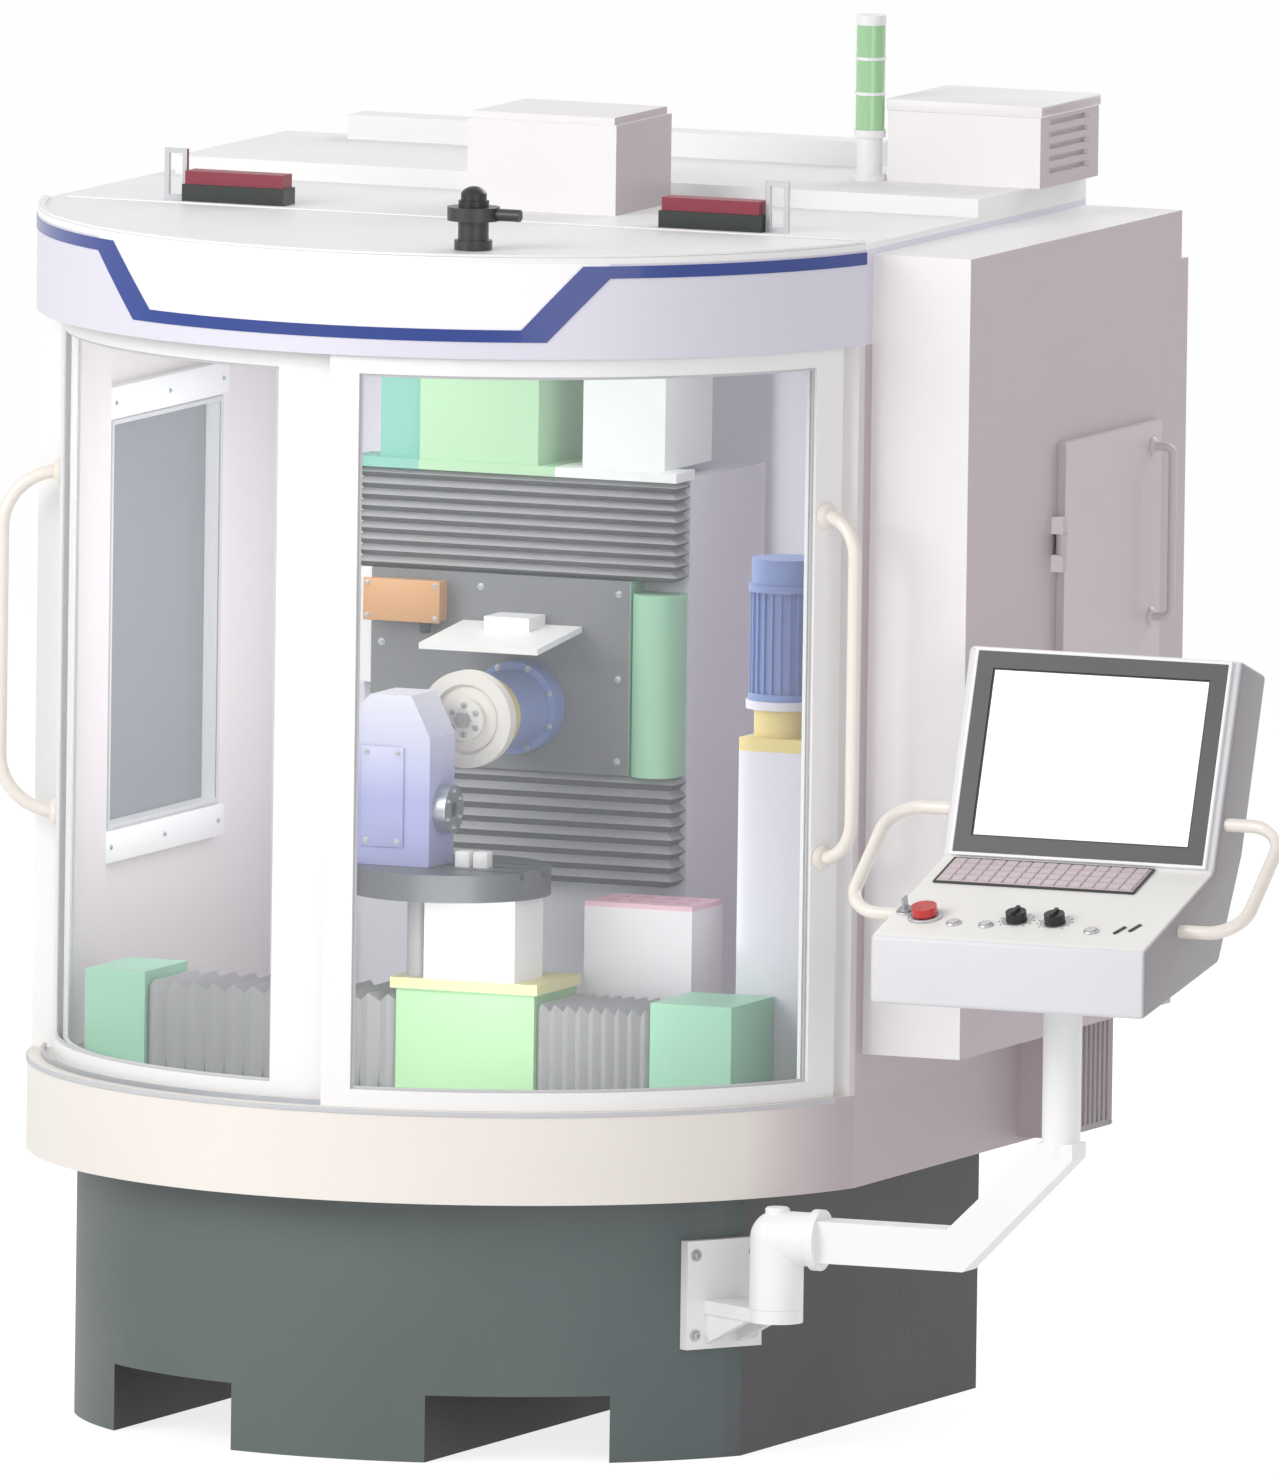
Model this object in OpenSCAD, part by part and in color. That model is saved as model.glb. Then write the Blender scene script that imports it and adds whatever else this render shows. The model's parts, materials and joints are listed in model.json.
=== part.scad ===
// Enclosed tool grinder with a rounded glazed front, a swing-arm operator console and a side cabinet.
// Origin: on the floor, on the vertical axis of the rounded front. +X right, +Y back, +Z up. Millimetres.

/* [Enclosure] */
// Radius of the rounded front
enc_r = 750; // [740:1:780]
// Setback of each straight side from the front's radius
side_cut = 22; // [15:1:30]
// Distance from the front's axis to the rear face
enc_back = 770; // [760:1:820]
// Height of the lower edge of the fascia
header_z = 1814; // [1790:1:1850]
// Height of the roof
roof_z = 1980; // [1950:1:2010]
// Thickness of the double-skinned walls
wall_t = 30; // [24:1:36]
// Thickness of the fascia sheet
fascia_t = 8; // [6:1:9]
// Thickness of the roof panel
roof_t = 10; // [6:1:14]
// Height of the raised rear part of the roof
hatch_h = 30; // [20:1:40]
// Distance of the raised roof's front edge behind the axis
hatch_y = 300; // [280:1:340]

/* [Base] */
// Setback of the base's rounded front from the enclosure's
base_in = 82; // [50:1:100]
// Setback of the base's straight sides from its radius
base_cut = 78; // [50:1:98]
// Distance from the axis to the rear of the base
base_back = 705; // [650:1:730]
// Height of the base
base_h = 433; // [425:1:445]
// Height of the sill on top of the skirt
sill_z = 585; // [580:1:600]
// Thickness of the tray floor
tray_t = 12; // [8:1:16]
// Distance from the middle to each fork pocket
fork_in = 171; // [150:1:190]
// Width of a fork pocket
fork_w = 267; // [240:1:280]
// Height of a fork pocket
fork_h = 110; // [90:1:130]

/* [Doors] */
// Thickness of a curved door
door_t = 24; // [20:1:26]
// Gap between the two doors and to the fascia
door_gap = 5; // [4:0.5:6]
// Half angle that the doors cover
door_a = 73; // [71:0.5:73]
// Angle of the wide stile of the left door where the doors meet
left_stile_a = 10.2; // [9:0.1:11]
// Angle of the narrow stile of the right door where the doors meet
right_stile_a = 3.9; // [3:0.1:5]
// Angle of the outer stiles
outer_stile_a = 5; // [4:0.5:7]
// Height of the lower door rail
door_rail_h = 30; // [24:1:40]
// How far the doors reach up behind the fascia
door_up = 36; // [20:1:50]
// Thickness of the door glass
glass_t = 8; // [5:1:10]
// Depth of the groove that holds the glass
glass_in = 7; // [4:1:10]
// Azimuth of the door handles
handle_a = 70; // [69:0.5:70.5]
// Length of a door handle
handle_l = 560; // [400:10:700]
// Height of the lower end of the door handles
handle_z = 980; // [900:10:1020]
// Stand-off of the handles' tube line from the outer door's face
handle_out = 65; // [55:1:75]
// Diameter of the handle tubes
handle_d = 22; // [18:1:28]
// Width of a guide rib
rib_w = 6; // [4:0.5:8]
// Height of a guide rib
rib_h = 8; // [5:1:12]

/* [Side cabinet] */
// Width of the cabinet beside the enclosure
cab_w = 171; // [150:1:190]
// Distance of the cabinet's front before the axis
cab_front = 150; // [130:1:160]
// Height of the cabinet's underside
cab_z0 = 650; // [640:1:680]
// Height of the cabinet's top
cab_z1 = 1960; // [1940:1:1970]
// Wall of the cabinet
cab_t = 15; // [10:1:20]
// Front edge of the cabinet door
cdoor_y0 = 240; // [200:1:280]
// Width of the cabinet door
cdoor_w = 420; // [360:1:440]
// Lower edge of the cabinet door
cdoor_z0 = 740; // [700:1:780]
// Upper edge of the cabinet door
cdoor_z1 = 1625; // [1580:1:1680]
// Thickness of the cabinet door
cdoor_t = 14; // [10:1:18]
// Overlap of the cabinet door round its opening
cdoor_lap = 18; // [10:1:25]
// Diameter of the cabinet hinge pins
hinge_d = 12; // [8:1:14]
// Length of the cabinet handle
chandle_l = 280; // [200:1:320]

/* [Window and vent] */
// Front edge of the left window
win_y0 = 20; // [0:1:60]
// Length of the left window
win_l = 450; // [400:1:500]
// Lower edge of the left window
win_z0 = 930; // [880:1:980]
// Height of the left window
win_h = 660; // [600:1:700]
// Width of the window's frame
win_frame = 26; // [16:1:36]
// Length of the ribbed side vent
vent_l = 240; // [200:1:280]
// Depth of the ribbed side vent
vent_d = 70; // [50:1:90]
// Gap between the ribbed side vent and the cabinet
vent_gap = 20; // [10:1:40]
// Pitch of the vent's ribs
vent_pitch = 20; // [16:1:30]

/* [Work axes] */
// Gap between the bed's front corners and the tray's rim
bed_gap = 24; // [20:1:40]
// Distance of the bed's front before the axis
bed_front = 290; // [280:1:295]
// Depth of the bed
bed_d = 180; // [160:1:190]
// How much shorter the bed is at its right end
bed_short = 36; // [20:1:50]
// Height of the bed's slideway above the tray's floor
way_h = 115; // [100:1:130]
// Height of the bed's end blocks above the slideway
block_h = 170; // [150:1:190]
// Length of the left end block
block_left = 106; // [90:1:120]
// Length of the right end block
block_right = 143; // [120:1:160]
// Middle of the saddle at rest
saddle_x = 84; // [75:1:95]
// Length of the saddle
saddle_l = 244; // [235:1:260]
// Height of the yellow saddle plate
plate_t = 18; // [12:1:24]
// Height of the pedestal
pedestal_h = 137; // [120:1:150]
// Middle of the rotary table in X at rest
table_x = 32; // [20:1:40]
// Radius of the rotary table
table_r = 165; // [150:1:170]
// Thickness of the rotary table
table_t = 45; // [35:1:50]
// Width of the workhead
head_w = 140; // [125:1:160]
// Height of the workhead
head_h = 280; // [250:1:290]
// Depth of the workhead
head_d = 105; // [90:1:110]
// Radius of the work spindle's nose
nose_r = 40; // [32:1:44]
// Radius of the work spindle's bore
work_bore_r = 12.5; // [8:0.5:16]
// Height of the work spindle above the table
nose_z = 92; // [70:1:110]

/* [Wheel head] */
// Left side of the column
col_x0 = -290; // [-310:1:-280]
// Right side of the column
col_x1 = 285; // [275:1:300]
// Front of the column
col_y0 = 160; // [150:1:170]
// Depth of the column
col_d = 320; // [280:1:360]
// Height of the column's top
col_z1 = 1538; // [1520:1:1560]
// Lower edge of the wheel head's plate
plate_z0 = 1052; // [1040:1:1070]
// Height of the wheel head's plate
plate_h = 320; // [300:1:330]
// Thickness of the wheel head's plate
plate_d = 60; // [50:1:70]
// Lower end of the lower cover
low_cover_z = 870; // [850:1:890]
// X of the wheel spindle
wheel_x = 15; // [0:1:30]
// Height of the wheel spindle
wheel_z = 1158; // [1150:1:1170]
// Radius of the grinding wheel
wheel_r = 80; // [60:1:85]
// Thickness of the grinding wheel
wheel_t = 25; // [16:1:28]
// Radius of the wheel spindle's housing
housing_r = 64; // [55:1:68]
// Length of the wheel spindle's housing
housing_l = 215; // [190:1:218]
// Radius of the wheel's arbor
arbor_r = 14; // [10:1:18]

/* [Swing arm] */
// Azimuth of the arm's pivot from the front
arm_az = 58; // [57:0.1:59]
// Distance of the arm's pivot from the base's rounded face
arm_out = 158; // [150:1:170]
// Height of the bracket's shelf
shelf_z = 262; // [250:1:270]
// Thickness of the bracket's shelf
shelf_t = 22; // [16:1:28]
// Radius of the pivot pin
pivot_r = 20; // [15:1:24]
// Radius of the elbow casting
elbow_r = 44; // [40:1:46]
// Height of the arm tube's middle line
arm_z = 378; // [374:1:380]
// Height of the arm tube
tube_h = 68; // [60:1:72]
// Width of the arm tube
tube_w = 60; // [50:1:70]
// Length from the pivot to the bend
arm_run = 323; // [305:1:335]
// Length from the pivot to the post
arm_reach = 495; // [485:1:515]
// Radius of the post
post_r = 31.5; // [28:0.5:36]
// Radius of the flange under the console
flange_r = 80; // [70:1:90]
// Thickness of the flange
flange_t = 14; // [10:1:18]

/* [Console] */
// Width of the console
con_w = 480; // [460:1:500]
// Height of the console's underside at the front
con_z0 = 800; // [780:1:820]
// Height of the console's front face
con_front = 113; // [100:1:125]
// Depth of the key deck
deck_d = 300; // [280:1:320]
// Rise of the key deck
deck_rise = 97; // [85:1:110]
// Length of the screen face
screen_l = 353; // [345:1:370]
// Tilt of the screen
screen_tilt = 18; // [14:1:22]
// Thickness of the screen housing
screen_t = 110; // [95:1:120]
// Distance from the console's front edge to the post
post_back = 245; // [235:1:255]
// Width of the dark bezel
bezel_w = 437; // [420:1:450]
// Height of the dark bezel
bezel_h = 334; // [320:1:340]
// Thickness of the bezel
bezel_t = 6; // [4:1:8]
// Width of the visible screen
view_w = 380; // [360:1:390]
// Height of the visible screen
view_h = 279; // [265:1:285]
// Width of the keyboard
keys_w = 344; // [320:1:360]
// Depth of the keyboard
keys_d = 90; // [80:1:96]
// Diameter of the emergency stop's head
estop_d = 42; // [38:1:46]
// Diameter of the override knobs
knob_d = 34; // [28:1:36]
// Stand-off of the console's side handles
grip_out = 105; // [90:1:115]

/* [Fits] */
// Radial clearance of a running fit
run_gap = 0.05; // [0.03:0.01:0.08]
// Clearance between sliding faces
slide_gap = 0.3; // [0.2:0.05:0.5]
// Clearance round a guide rib
rib_gap = 1.5; // [1:0.1:2]

/* [Hidden] */
$fn = 96;
over = 1;
front_a = -90;

enc_x = enc_r - side_cut;
base_r = enc_r - base_in;
base_x = base_r - base_cut;
arm_rad = base_r + arm_out;
arm_x = arm_rad * sin(arm_az);
arm_y = -arm_rad * cos(arm_az);

// Radii of the two door tracks, from the fascia inwards
outer_door_r1 = enc_r - fascia_t - door_gap;
outer_door_r0 = outer_door_r1 - door_t;
inner_door_r1 = outer_door_r0 - door_gap;
inner_door_r0 = inner_door_r1 - door_t;
rim_r = inner_door_r0 - door_gap;
handle_r = outer_door_r1 + handle_out;
bed_l = sqrt(rim_r * rim_r - bed_front * bed_front) - bed_gap;
bed_x1 = bed_l - bed_short;
door_z0 = sill_z + slide_gap;
door_z1 = header_z + door_up;
track_z = door_z1 + slide_gap;
track_t = 12;
meet_lap_a = 3.2;
meet_a = 1.4;
end_gap_a = 0.4;
jamb_y = inner_door_r0 * cos(door_a + end_gap_a);

floor_z = base_h + tray_t;
way_z = floor_z + way_h;
hatch_z = roof_z + hatch_h;
cab_x1 = enc_x + cab_w;
cab_y0 = -cab_front;

// Console profile, as distances behind its front edge and heights
con_y0 = arm_y - post_back;
con_x = arm_x + arm_reach;
con_z1 = con_z0 + con_front;
deck_a = atan(deck_rise / deck_d);
deck_z1 = con_z1 + deck_rise;
screen_up = [sin(screen_tilt), cos(screen_tilt)];
screen_in = [cos(screen_tilt), -sin(screen_tilt)];
screen_top = [deck_d, deck_z1] + screen_l * screen_up;
back_drop = 300;
back_top = screen_top + screen_t * screen_in;
back_low = back_top - back_drop * screen_up;

table_front = 35;
table_y = -bed_front + bed_d / 2 - table_front;
table_z = way_z + block_h + plate_t + pedestal_h;
spindle_y = col_y0 - plate_d;
wheel_y = spindle_y - housing_l;

// Front half of a disc and a straight body behind it
module d_plan(r, x, back) {
    wide = max(r, x) + over;
    intersection() {
        union() {
            circle(r = r, $fn = 180);
            translate([-wide, 0]) square([2 * wide, back + over]);
        }
        translate([-x, -r - over]) square([2 * x, r + over + back]);
    }
}

// Band of rectangular section about the front's axis, between two azimuths from the front
module arc_band(r0, r1, z0, z1, a0, a1) {
    rotate([0, 0, front_a + a0])
        rotate_extrude(angle = a1 - a0, $fn = 180)
            translate([r0, z0]) square([r1 - r0, z1 - z0]);
}

// Moves to an azimuth and radius, with local +X outwards
module at_azimuth(a, r) {
    rotate([0, 0, front_a + a]) translate([r, 0, 0]) children();
}

// Box from its low corner to its high corner
module block(low, high) {
    translate(low) cube(high - low);
}

// Bent tube handle from the XY plane's z = 0 to z = span, reaching out along +X
module bow(span, reach, bend, d) {
    for (low = [0, 1]) {
        translate([reach - bend, 0, low == 1 ? bend : span - bend])
            rotate([90, 0, 0]) rotate([0, 0, low == 1 ? -90 : 0])
                rotate_extrude(angle = 90, $fn = 48) translate([bend, 0]) circle(d = d, $fn = 32);
        if (reach > bend)
            translate([0, 0, low == 1 ? 0 : span]) rotate([0, 90, 0])
                cylinder(d = d, h = reach - bend, $fn = 32);
    }
    translate([reach, 0, bend]) cylinder(d = d, h = span - 2 * bend, $fn = 32);
}

// Zigzag side of a pleated cover, as points along its length
function pleats(length, count, high, low) = [
    for (i = [0 : 2 * count]) [i * length / (2 * count), i % 2 == 0 ? low : high]
];

module bed_casting() {
    color("#5c6466") difference() {
        linear_extrude(base_h) d_plan(base_r, base_x, base_back);
        for (side = [-1, 1])
            translate([side * (fork_in + fork_w / 2) - fork_w / 2, -base_r - over, -over])
                cube([fork_w, base_r + base_back + 2 * over, fork_h + over]);
    }
}

module drip_tray() {
    color("#eeeae2") translate([0, 0, base_h]) difference() {
        linear_extrude(sill_z - base_h) d_plan(enc_r, enc_x, enc_back);
        translate([0, 0, tray_t]) linear_extrude(sill_z - base_h)
            d_plan(rim_r, enc_x - wall_t, enc_back - wall_t);
    }
}

// Guide ribs on the sill, and the upper track with its ribs
module door_rails() {
    color("#9aa0a4") {
        for (r = [inner_door_r0, outer_door_r0])
            arc_band(r + (door_t - rib_w) / 2, r + (door_t + rib_w) / 2, sill_z, sill_z + rib_h,
                -door_a, door_a);
        arc_band(rim_r, enc_r - fascia_t, track_z, track_z + track_t, -door_a, door_a);
        for (r = [inner_door_r0, outer_door_r0])
            arc_band(r + (door_t - rib_w) / 2, r + (door_t + rib_w) / 2, track_z - rib_h, track_z,
                -door_a, door_a);
    }
}

// Plan of the double-skinned walls with their front jambs
module wall_plan() {
    difference() {
        d_plan(enc_r, enc_x, enc_back);
        d_plan(rim_r, enc_x - wall_t, enc_back - wall_t);
        translate([-enc_r, -enc_r - jamb_y]) square([2 * enc_r, enc_r]);
    }
}

module side_wall(side) {
    translate([0, 0, sill_z]) linear_extrude(header_z - sill_z) intersection() {
        wall_plan();
        translate([side > 0 ? 0 : -enc_r, -enc_r]) square([enc_r, enc_r + enc_back - wall_t]);
    }
}

module left_wall() {
    rim = [win_frame, win_frame];
    color("#e6e2e2") difference() {
        union() {
            side_wall(-1);
            block([wall_t - enc_x, win_y0 - rim.x, win_z0 - rim.y],
                [wall_t - enc_x + rim.x / 2, win_y0 + win_l + rim.x, win_z0 + win_h + rim.y]);
        }
        block([-enc_x - over, win_y0, win_z0], [wall_t - enc_x + rim.x, win_y0 + win_l, win_z0 + win_h]);
    }
}

module left_window() {
    color("#8e9094") translate([-enc_x + (wall_t - glass_t) / 2, win_y0, win_z0])
        cube([glass_t, win_l, win_h]);
}

module right_wall() {
    color("#cfc8cb") side_wall(1);
}

module back_wall() {
    color("#cfc8cb") block([-enc_x, enc_back - wall_t, sill_z], [enc_x, enc_back, header_z]);
}

module header_band() {
    color("#eceaf0") translate([0, 0, header_z]) linear_extrude(roof_z - roof_t - header_z) difference() {
        d_plan(enc_r, enc_x, enc_back);
        d_plan(enc_r - fascia_t, enc_x - fascia_t, enc_back - fascia_t);
    }
}

// Stripe along the roof edge that drops to a tray shape across the front
module blue_stripe() {
    stripe_t = 1.5;
    band = 20;
    flank = 36;
    top = roof_z - roof_t - 4;
    low = header_z + 28;
    top_x = enc_r * sin(37);
    low_x = enc_r * sin(29);
    end_a = asin(enc_x / enc_r);
    color("#24479a") intersection() {
        arc_band(enc_r, enc_r + stripe_t, low, top, -end_a, end_a);
        rotate([90, 0, 0]) linear_extrude(enc_r + 2 * stripe_t) difference() {
            translate([-enc_r - over, low]) square([2 * (enc_r + over), top - low]);
            polygon([[-top_x + flank, top + over], [-low_x + flank, low + band],
                [low_x - flank, low + band], [top_x - flank, top + over]]);
            for (side = [-1, 1])
                polygon([[side * top_x, top - band], [side * low_x, low - over],
                    [side * (enc_r + 2 * over), low - over], [side * (enc_r + 2 * over), top - band]]);
        }
    }
}

duct_d = 70;
duct_h = 40;
duct_left = 168;
duct_right = 340;

// Roof with its raised rear part and the cable duct along the back
module roof_panel() {
    color("#f4f4f4") {
        translate([0, 0, roof_z - roof_t]) linear_extrude(roof_t) d_plan(enc_r, enc_x, enc_back);
        block([-enc_x + wall_t, hatch_y, roof_z - over], [enc_x, enc_back, hatch_z]);
        block([duct_left - enc_x, enc_back - duct_d, hatch_z - over],
            [enc_x - duct_right, enc_back, hatch_z + duct_h]);
    }
}

// Curved door frame between two azimuths, with guide grooves and a groove for its glass
module door_frame(r0, a0, a1, stile0, stile1) {
    mid = r0 + door_t / 2;
    lip_a = glass_in / mid * 180 / PI;
    top_rail = door_up + door_rail_h;
    difference() {
        arc_band(r0, r0 + door_t, door_z0, door_z1, a0, a1);
        arc_band(r0 - over, r0 + door_t + over, door_z0 + door_rail_h, door_z1 - top_rail,
            a0 + stile0, a1 - stile1);
        arc_band(mid - glass_t / 2 - slide_gap, mid + glass_t / 2 + slide_gap,
            door_z0 + door_rail_h - glass_in - slide_gap, door_z1 - top_rail + glass_in + slide_gap,
            a0 + stile0 - lip_a * 1.05, a1 - stile1 + lip_a * 1.05);
        for (z = [door_z0 - over, door_z1 - rib_h - rib_gap])
            arc_band(mid - rib_w / 2 - rib_gap, mid + rib_w / 2 + rib_gap, z, z + rib_h + rib_gap + over,
                a0 - over, a1 + over);
    }
}

module door_glass(r0, a0, a1, stile0, stile1) {
    mid = r0 + door_t / 2;
    lip_a = glass_in / mid * 180 / PI;
    arc_band(mid - glass_t / 2, mid + glass_t / 2, door_z0 + door_rail_h - glass_in,
        door_z1 - door_up - door_rail_h + glass_in, a0 + stile0 - lip_a, a1 - stile1 + lip_a);
}

module door_handle(a, face_r) {
    reach = handle_r - face_r;
    at_azimuth(a, face_r) translate([0, 0, handle_z]) bow(handle_l, reach, reach, handle_d);
}

module left_door_frame() {
    color("#f2f2f2") door_frame(inner_door_r0, -door_a, meet_lap_a, outer_stile_a, left_stile_a);
}

module left_door_glass() {
    color("#d8e4e6", 0.3) door_glass(inner_door_r0, -door_a, meet_lap_a, outer_stile_a, left_stile_a);
}

module left_door_handle() {
    color("#efe9e4") door_handle(-handle_a, inner_door_r1);
}

module right_door_frame() {
    color("#f2f2f2") door_frame(outer_door_r0, meet_a, door_a, right_stile_a, outer_stile_a);
}

module right_door_glass() {
    color("#d8e4e6", 0.3) door_glass(outer_door_r0, meet_a, door_a, right_stile_a, outer_stile_a);
}

module right_door_handle() {
    color("#efe9e4") door_handle(handle_a, outer_door_r1);
}

// Place of the cabinet door's two hinges
hinge_x = cab_x1 + cdoor_t + slide_gap;
hinge_y = cdoor_y0 - hinge_d;
hinge_l = 90;
knuckle_l = 34;
hinge_in = 120;
hinge_z = [cdoor_z0 + hinge_in, cdoor_z1 - hinge_in - hinge_l];
lug_l = (hinge_l - knuckle_l) / 2 - slide_gap;

// Hollow cabinet with hinge lugs and pins on its side and a flat cooler on its back
module cabinet_body() {
    cooler_low = 60;
    cooler_high = 80;
    cooler_d = 30;
    color("#dcd6d8") {
        difference() {
            block([enc_x, cab_y0, cab_z0], [cab_x1, enc_back, cab_z1]);
            block([enc_x + cab_t, cab_y0 + cab_t, cab_z0 + cab_t],
                [cab_x1 - cab_t, enc_back - cab_t, cab_z1 - cab_t]);
            block([cab_x1 - cab_t - over, cdoor_y0 + cdoor_lap, cdoor_z0 + cdoor_lap],
                [cab_x1 + over, cdoor_y0 + cdoor_w - cdoor_lap, cdoor_z1 - cdoor_lap]);
        }
        for (z = hinge_z) {
            for (lug_z = [z, z + hinge_l - lug_l])
                block([cab_x1 - over, hinge_y - hinge_d, lug_z],
                    [hinge_x + hinge_d / 2, hinge_y + hinge_d / 2, lug_z + lug_l]);
            translate([hinge_x, hinge_y, z]) cylinder(d = hinge_d, h = hinge_l);
        }
        block([enc_x, enc_back - over, cab_z0 + cooler_low],
            [cab_x1, enc_back + cooler_d, cab_z1 - cooler_high]);
    }
}

module cabinet_door() {
    leaf_x0 = cab_x1 + slide_gap;
    knuckle_t = 4;
    knuckle_r = hinge_d / 2 + knuckle_t;
    grip_reach = 36;
    grip_r = 14;
    grip_in = 40;
    color("#d0c8cb") {
        difference() {
            union() {
                block([leaf_x0, cdoor_y0, cdoor_z0], [leaf_x0 + cdoor_t, cdoor_y0 + cdoor_w, cdoor_z1]);
                for (z = hinge_z) translate([hinge_x, hinge_y, z + (hinge_l - knuckle_l) / 2]) {
                    cylinder(r = knuckle_r, h = knuckle_l);
                    translate([-knuckle_t, 0, 0]) cube([2 * knuckle_t, hinge_d + 2 * knuckle_t, knuckle_l]);
                }
            }
            for (z = hinge_z)
                translate([hinge_x, hinge_y, z]) cylinder(d = hinge_d + 2 * run_gap, h = hinge_l);
        }
        translate([leaf_x0 + cdoor_t, cdoor_y0 + cdoor_w - grip_in, cdoor_z1 - grip_in - chandle_l])
            bow(chandle_l, grip_reach, grip_r, grip_r);
    }
}

// Mounting plate with a row of drive modules
module drive_rack() {
    plate_x = enc_x + cab_t;
    sheet = 4;
    depth = (cab_w - 2 * cab_t) * 0.6;
    high = cdoor_z1 - cdoor_z0;
    edge = 30;
    modules = 5;
    pitch = (cdoor_w - 2 * edge) / modules;
    color("#b8bcc0") {
        block([plate_x, cdoor_y0, cdoor_z0 + cdoor_lap],
            [plate_x + sheet, cdoor_y0 + cdoor_w, cdoor_z1 - cdoor_lap]);
        for (i = [0 : modules - 1])
            block([plate_x + sheet, cdoor_y0 + edge + i * pitch, cdoor_z0 + high * 0.53],
                [plate_x + depth, cdoor_y0 + edge + (i + 0.86) * pitch, cdoor_z0 + high * 0.88]);
        block([plate_x + sheet, cdoor_y0 + edge, cdoor_z0 + high * 0.13],
            [plate_x + depth * 0.7, cdoor_y0 + cdoor_w - edge, cdoor_z0 + high * 0.24]);
    }
}

// Ribbed air inlet low on the rear of the right side
module side_vent() {
    y1 = enc_back;
    z0 = base_h + vent_gap / 2;
    vent_h = cab_z0 - vent_gap - z0;
    groove = 12;
    rib = vent_pitch / 2;
    color("#9b9699") difference() {
        block([enc_x, y1 - vent_l, z0], [enc_x + vent_d, y1, z0 + vent_h]);
        for (y = [y1 - vent_l + rib : vent_pitch : y1 - vent_pitch])
            block([enc_x + vent_d - groove, y, z0 + rib],
                [enc_x + vent_d + over, y + rib, z0 + vent_h - rib]);
    }
}

motor_x = -63;
motor_y = 25;
motor_w = 263;
motor_d = 236;
motor_h = 160;

// Sheet cover over the drive motor, with a shallow lid
module motor_cover() {
    lid_in = 6;
    lid_h = 12;
    color("#f0f0f2") translate([motor_x, motor_y, roof_z]) {
        cube([motor_w, motor_d, motor_h - lid_h]);
        translate([lid_in, lid_in, motor_h - lid_h - over])
            cube([motor_w - 2 * lid_in, motor_d - 2 * lid_in, lid_h + over]);
    }
}

mist_w = 270;
mist_d = 254;
mist_h = 132;
mist_over = 24;
mist_rear = 8;

// Filter box with a slotted outlet side
module mist_collector() {
    slot = 10;
    pitch = 20;
    edge = 20;
    low = [enc_x + mist_over - mist_w, enc_back - mist_rear - mist_d, hatch_z];
    color("#e8e6e8") translate(low) difference() {
        cube([mist_w, mist_d, mist_h]);
        for (z = [edge : pitch : mist_h - edge - slot])
            translate([mist_w - slot, 2 * edge, z]) cube([slot + over, mist_d - 4 * edge, slot]);
    }
}

tower_gap = 32;
tower_x = enc_x + mist_over - mist_w - tower_gap;
tower_y = enc_back - mist_rear - mist_d;
tower_pole = 83;
tower_lens = 173;
lens_r = 24;

// Post with its foot and collar, and the cap over the lens
module signal_post() {
    foot_h = 10;
    collar_h = 12;
    cap_h = 16;
    color("#f2f2f0") translate([tower_x, tower_y, hatch_z]) {
        cylinder(r = lens_r + 4, h = foot_h);
        cylinder(r = lens_r - 3, h = tower_pole - collar_h);
        translate([0, 0, tower_pole - collar_h]) cylinder(r = lens_r + 2, h = collar_h);
        translate([0, 0, tower_pole + tower_lens]) cylinder(r = lens_r + 1, h = cap_h);
    }
}

module signal_lens() {
    color("#9fd09f") translate([tower_x, tower_y, hatch_z + tower_pole])
        cylinder(r = lens_r, h = tower_lens);
}

lock_x = 422;
lock_y = -86;
lock_l = 180;
lock_d = 50;
lock_h = 28;
cover_h = 22;

// Door interlocks: a switch body, its red cover and an upright loop beside it, on each side
module interlock_switches() {
    loop_w = 40;
    loop_h = 84;
    bar = 8;
    cover_in = 4;
    for (side = [-1, 1]) translate([side * lock_x, lock_y, roof_z]) {
        color("#1f2a28") translate([-lock_l / 2, -lock_d / 2, 0]) cube([lock_l, lock_d, lock_h]);
        color("#7e3548") translate([cover_in - lock_l / 2, cover_in - lock_d / 2, lock_h])
            cube([lock_l - 2 * cover_in, lock_d - 2 * cover_in, cover_h]);
        color("#c9ccd0") translate([side * (lock_l + loop_w) / 2 - loop_w / 2, -bar / 2, 0]) difference() {
            cube([loop_w, bar, loop_h]);
            translate([bar, -over, bar]) cube([loop_w - 2 * bar, bar + 2 * over, loop_h - 2 * bar]);
        }
    }
}

reg_a = 19.2;
reg_in = 125;
reg_x = (enc_r - reg_in) * sin(reg_a);
reg_y = -(enc_r - reg_in) * cos(reg_a);
reg_foot = 16;
reg_bowl = 32;
reg_body = 22;
reg_h = reg_foot + reg_bowl + reg_body;
reg_r = 43;
reg_stem_r = 8;
reg_stem_l = 20;

// Air regulator on the front of the roof: foot, bowl and body with a side port
module regulator_body() {
    foot_r = 31;
    bowl_r = 25;
    port_r = 10;
    port_l = 82;
    color("#3a3c3e") translate([reg_x, reg_y, roof_z]) {
        cylinder(r = foot_r, h = reg_foot);
        translate([0, 0, reg_foot]) cylinder(r = bowl_r, h = reg_bowl);
        translate([0, 0, reg_foot + reg_bowl]) cylinder(r = reg_r, h = reg_body);
        translate([0, 0, reg_h - reg_body / 2]) rotate([0, 90, 0]) cylinder(r = port_r, h = port_l);
        translate([0, 0, reg_h]) cylinder(r = reg_stem_r, h = reg_stem_l);
    }
}

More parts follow.
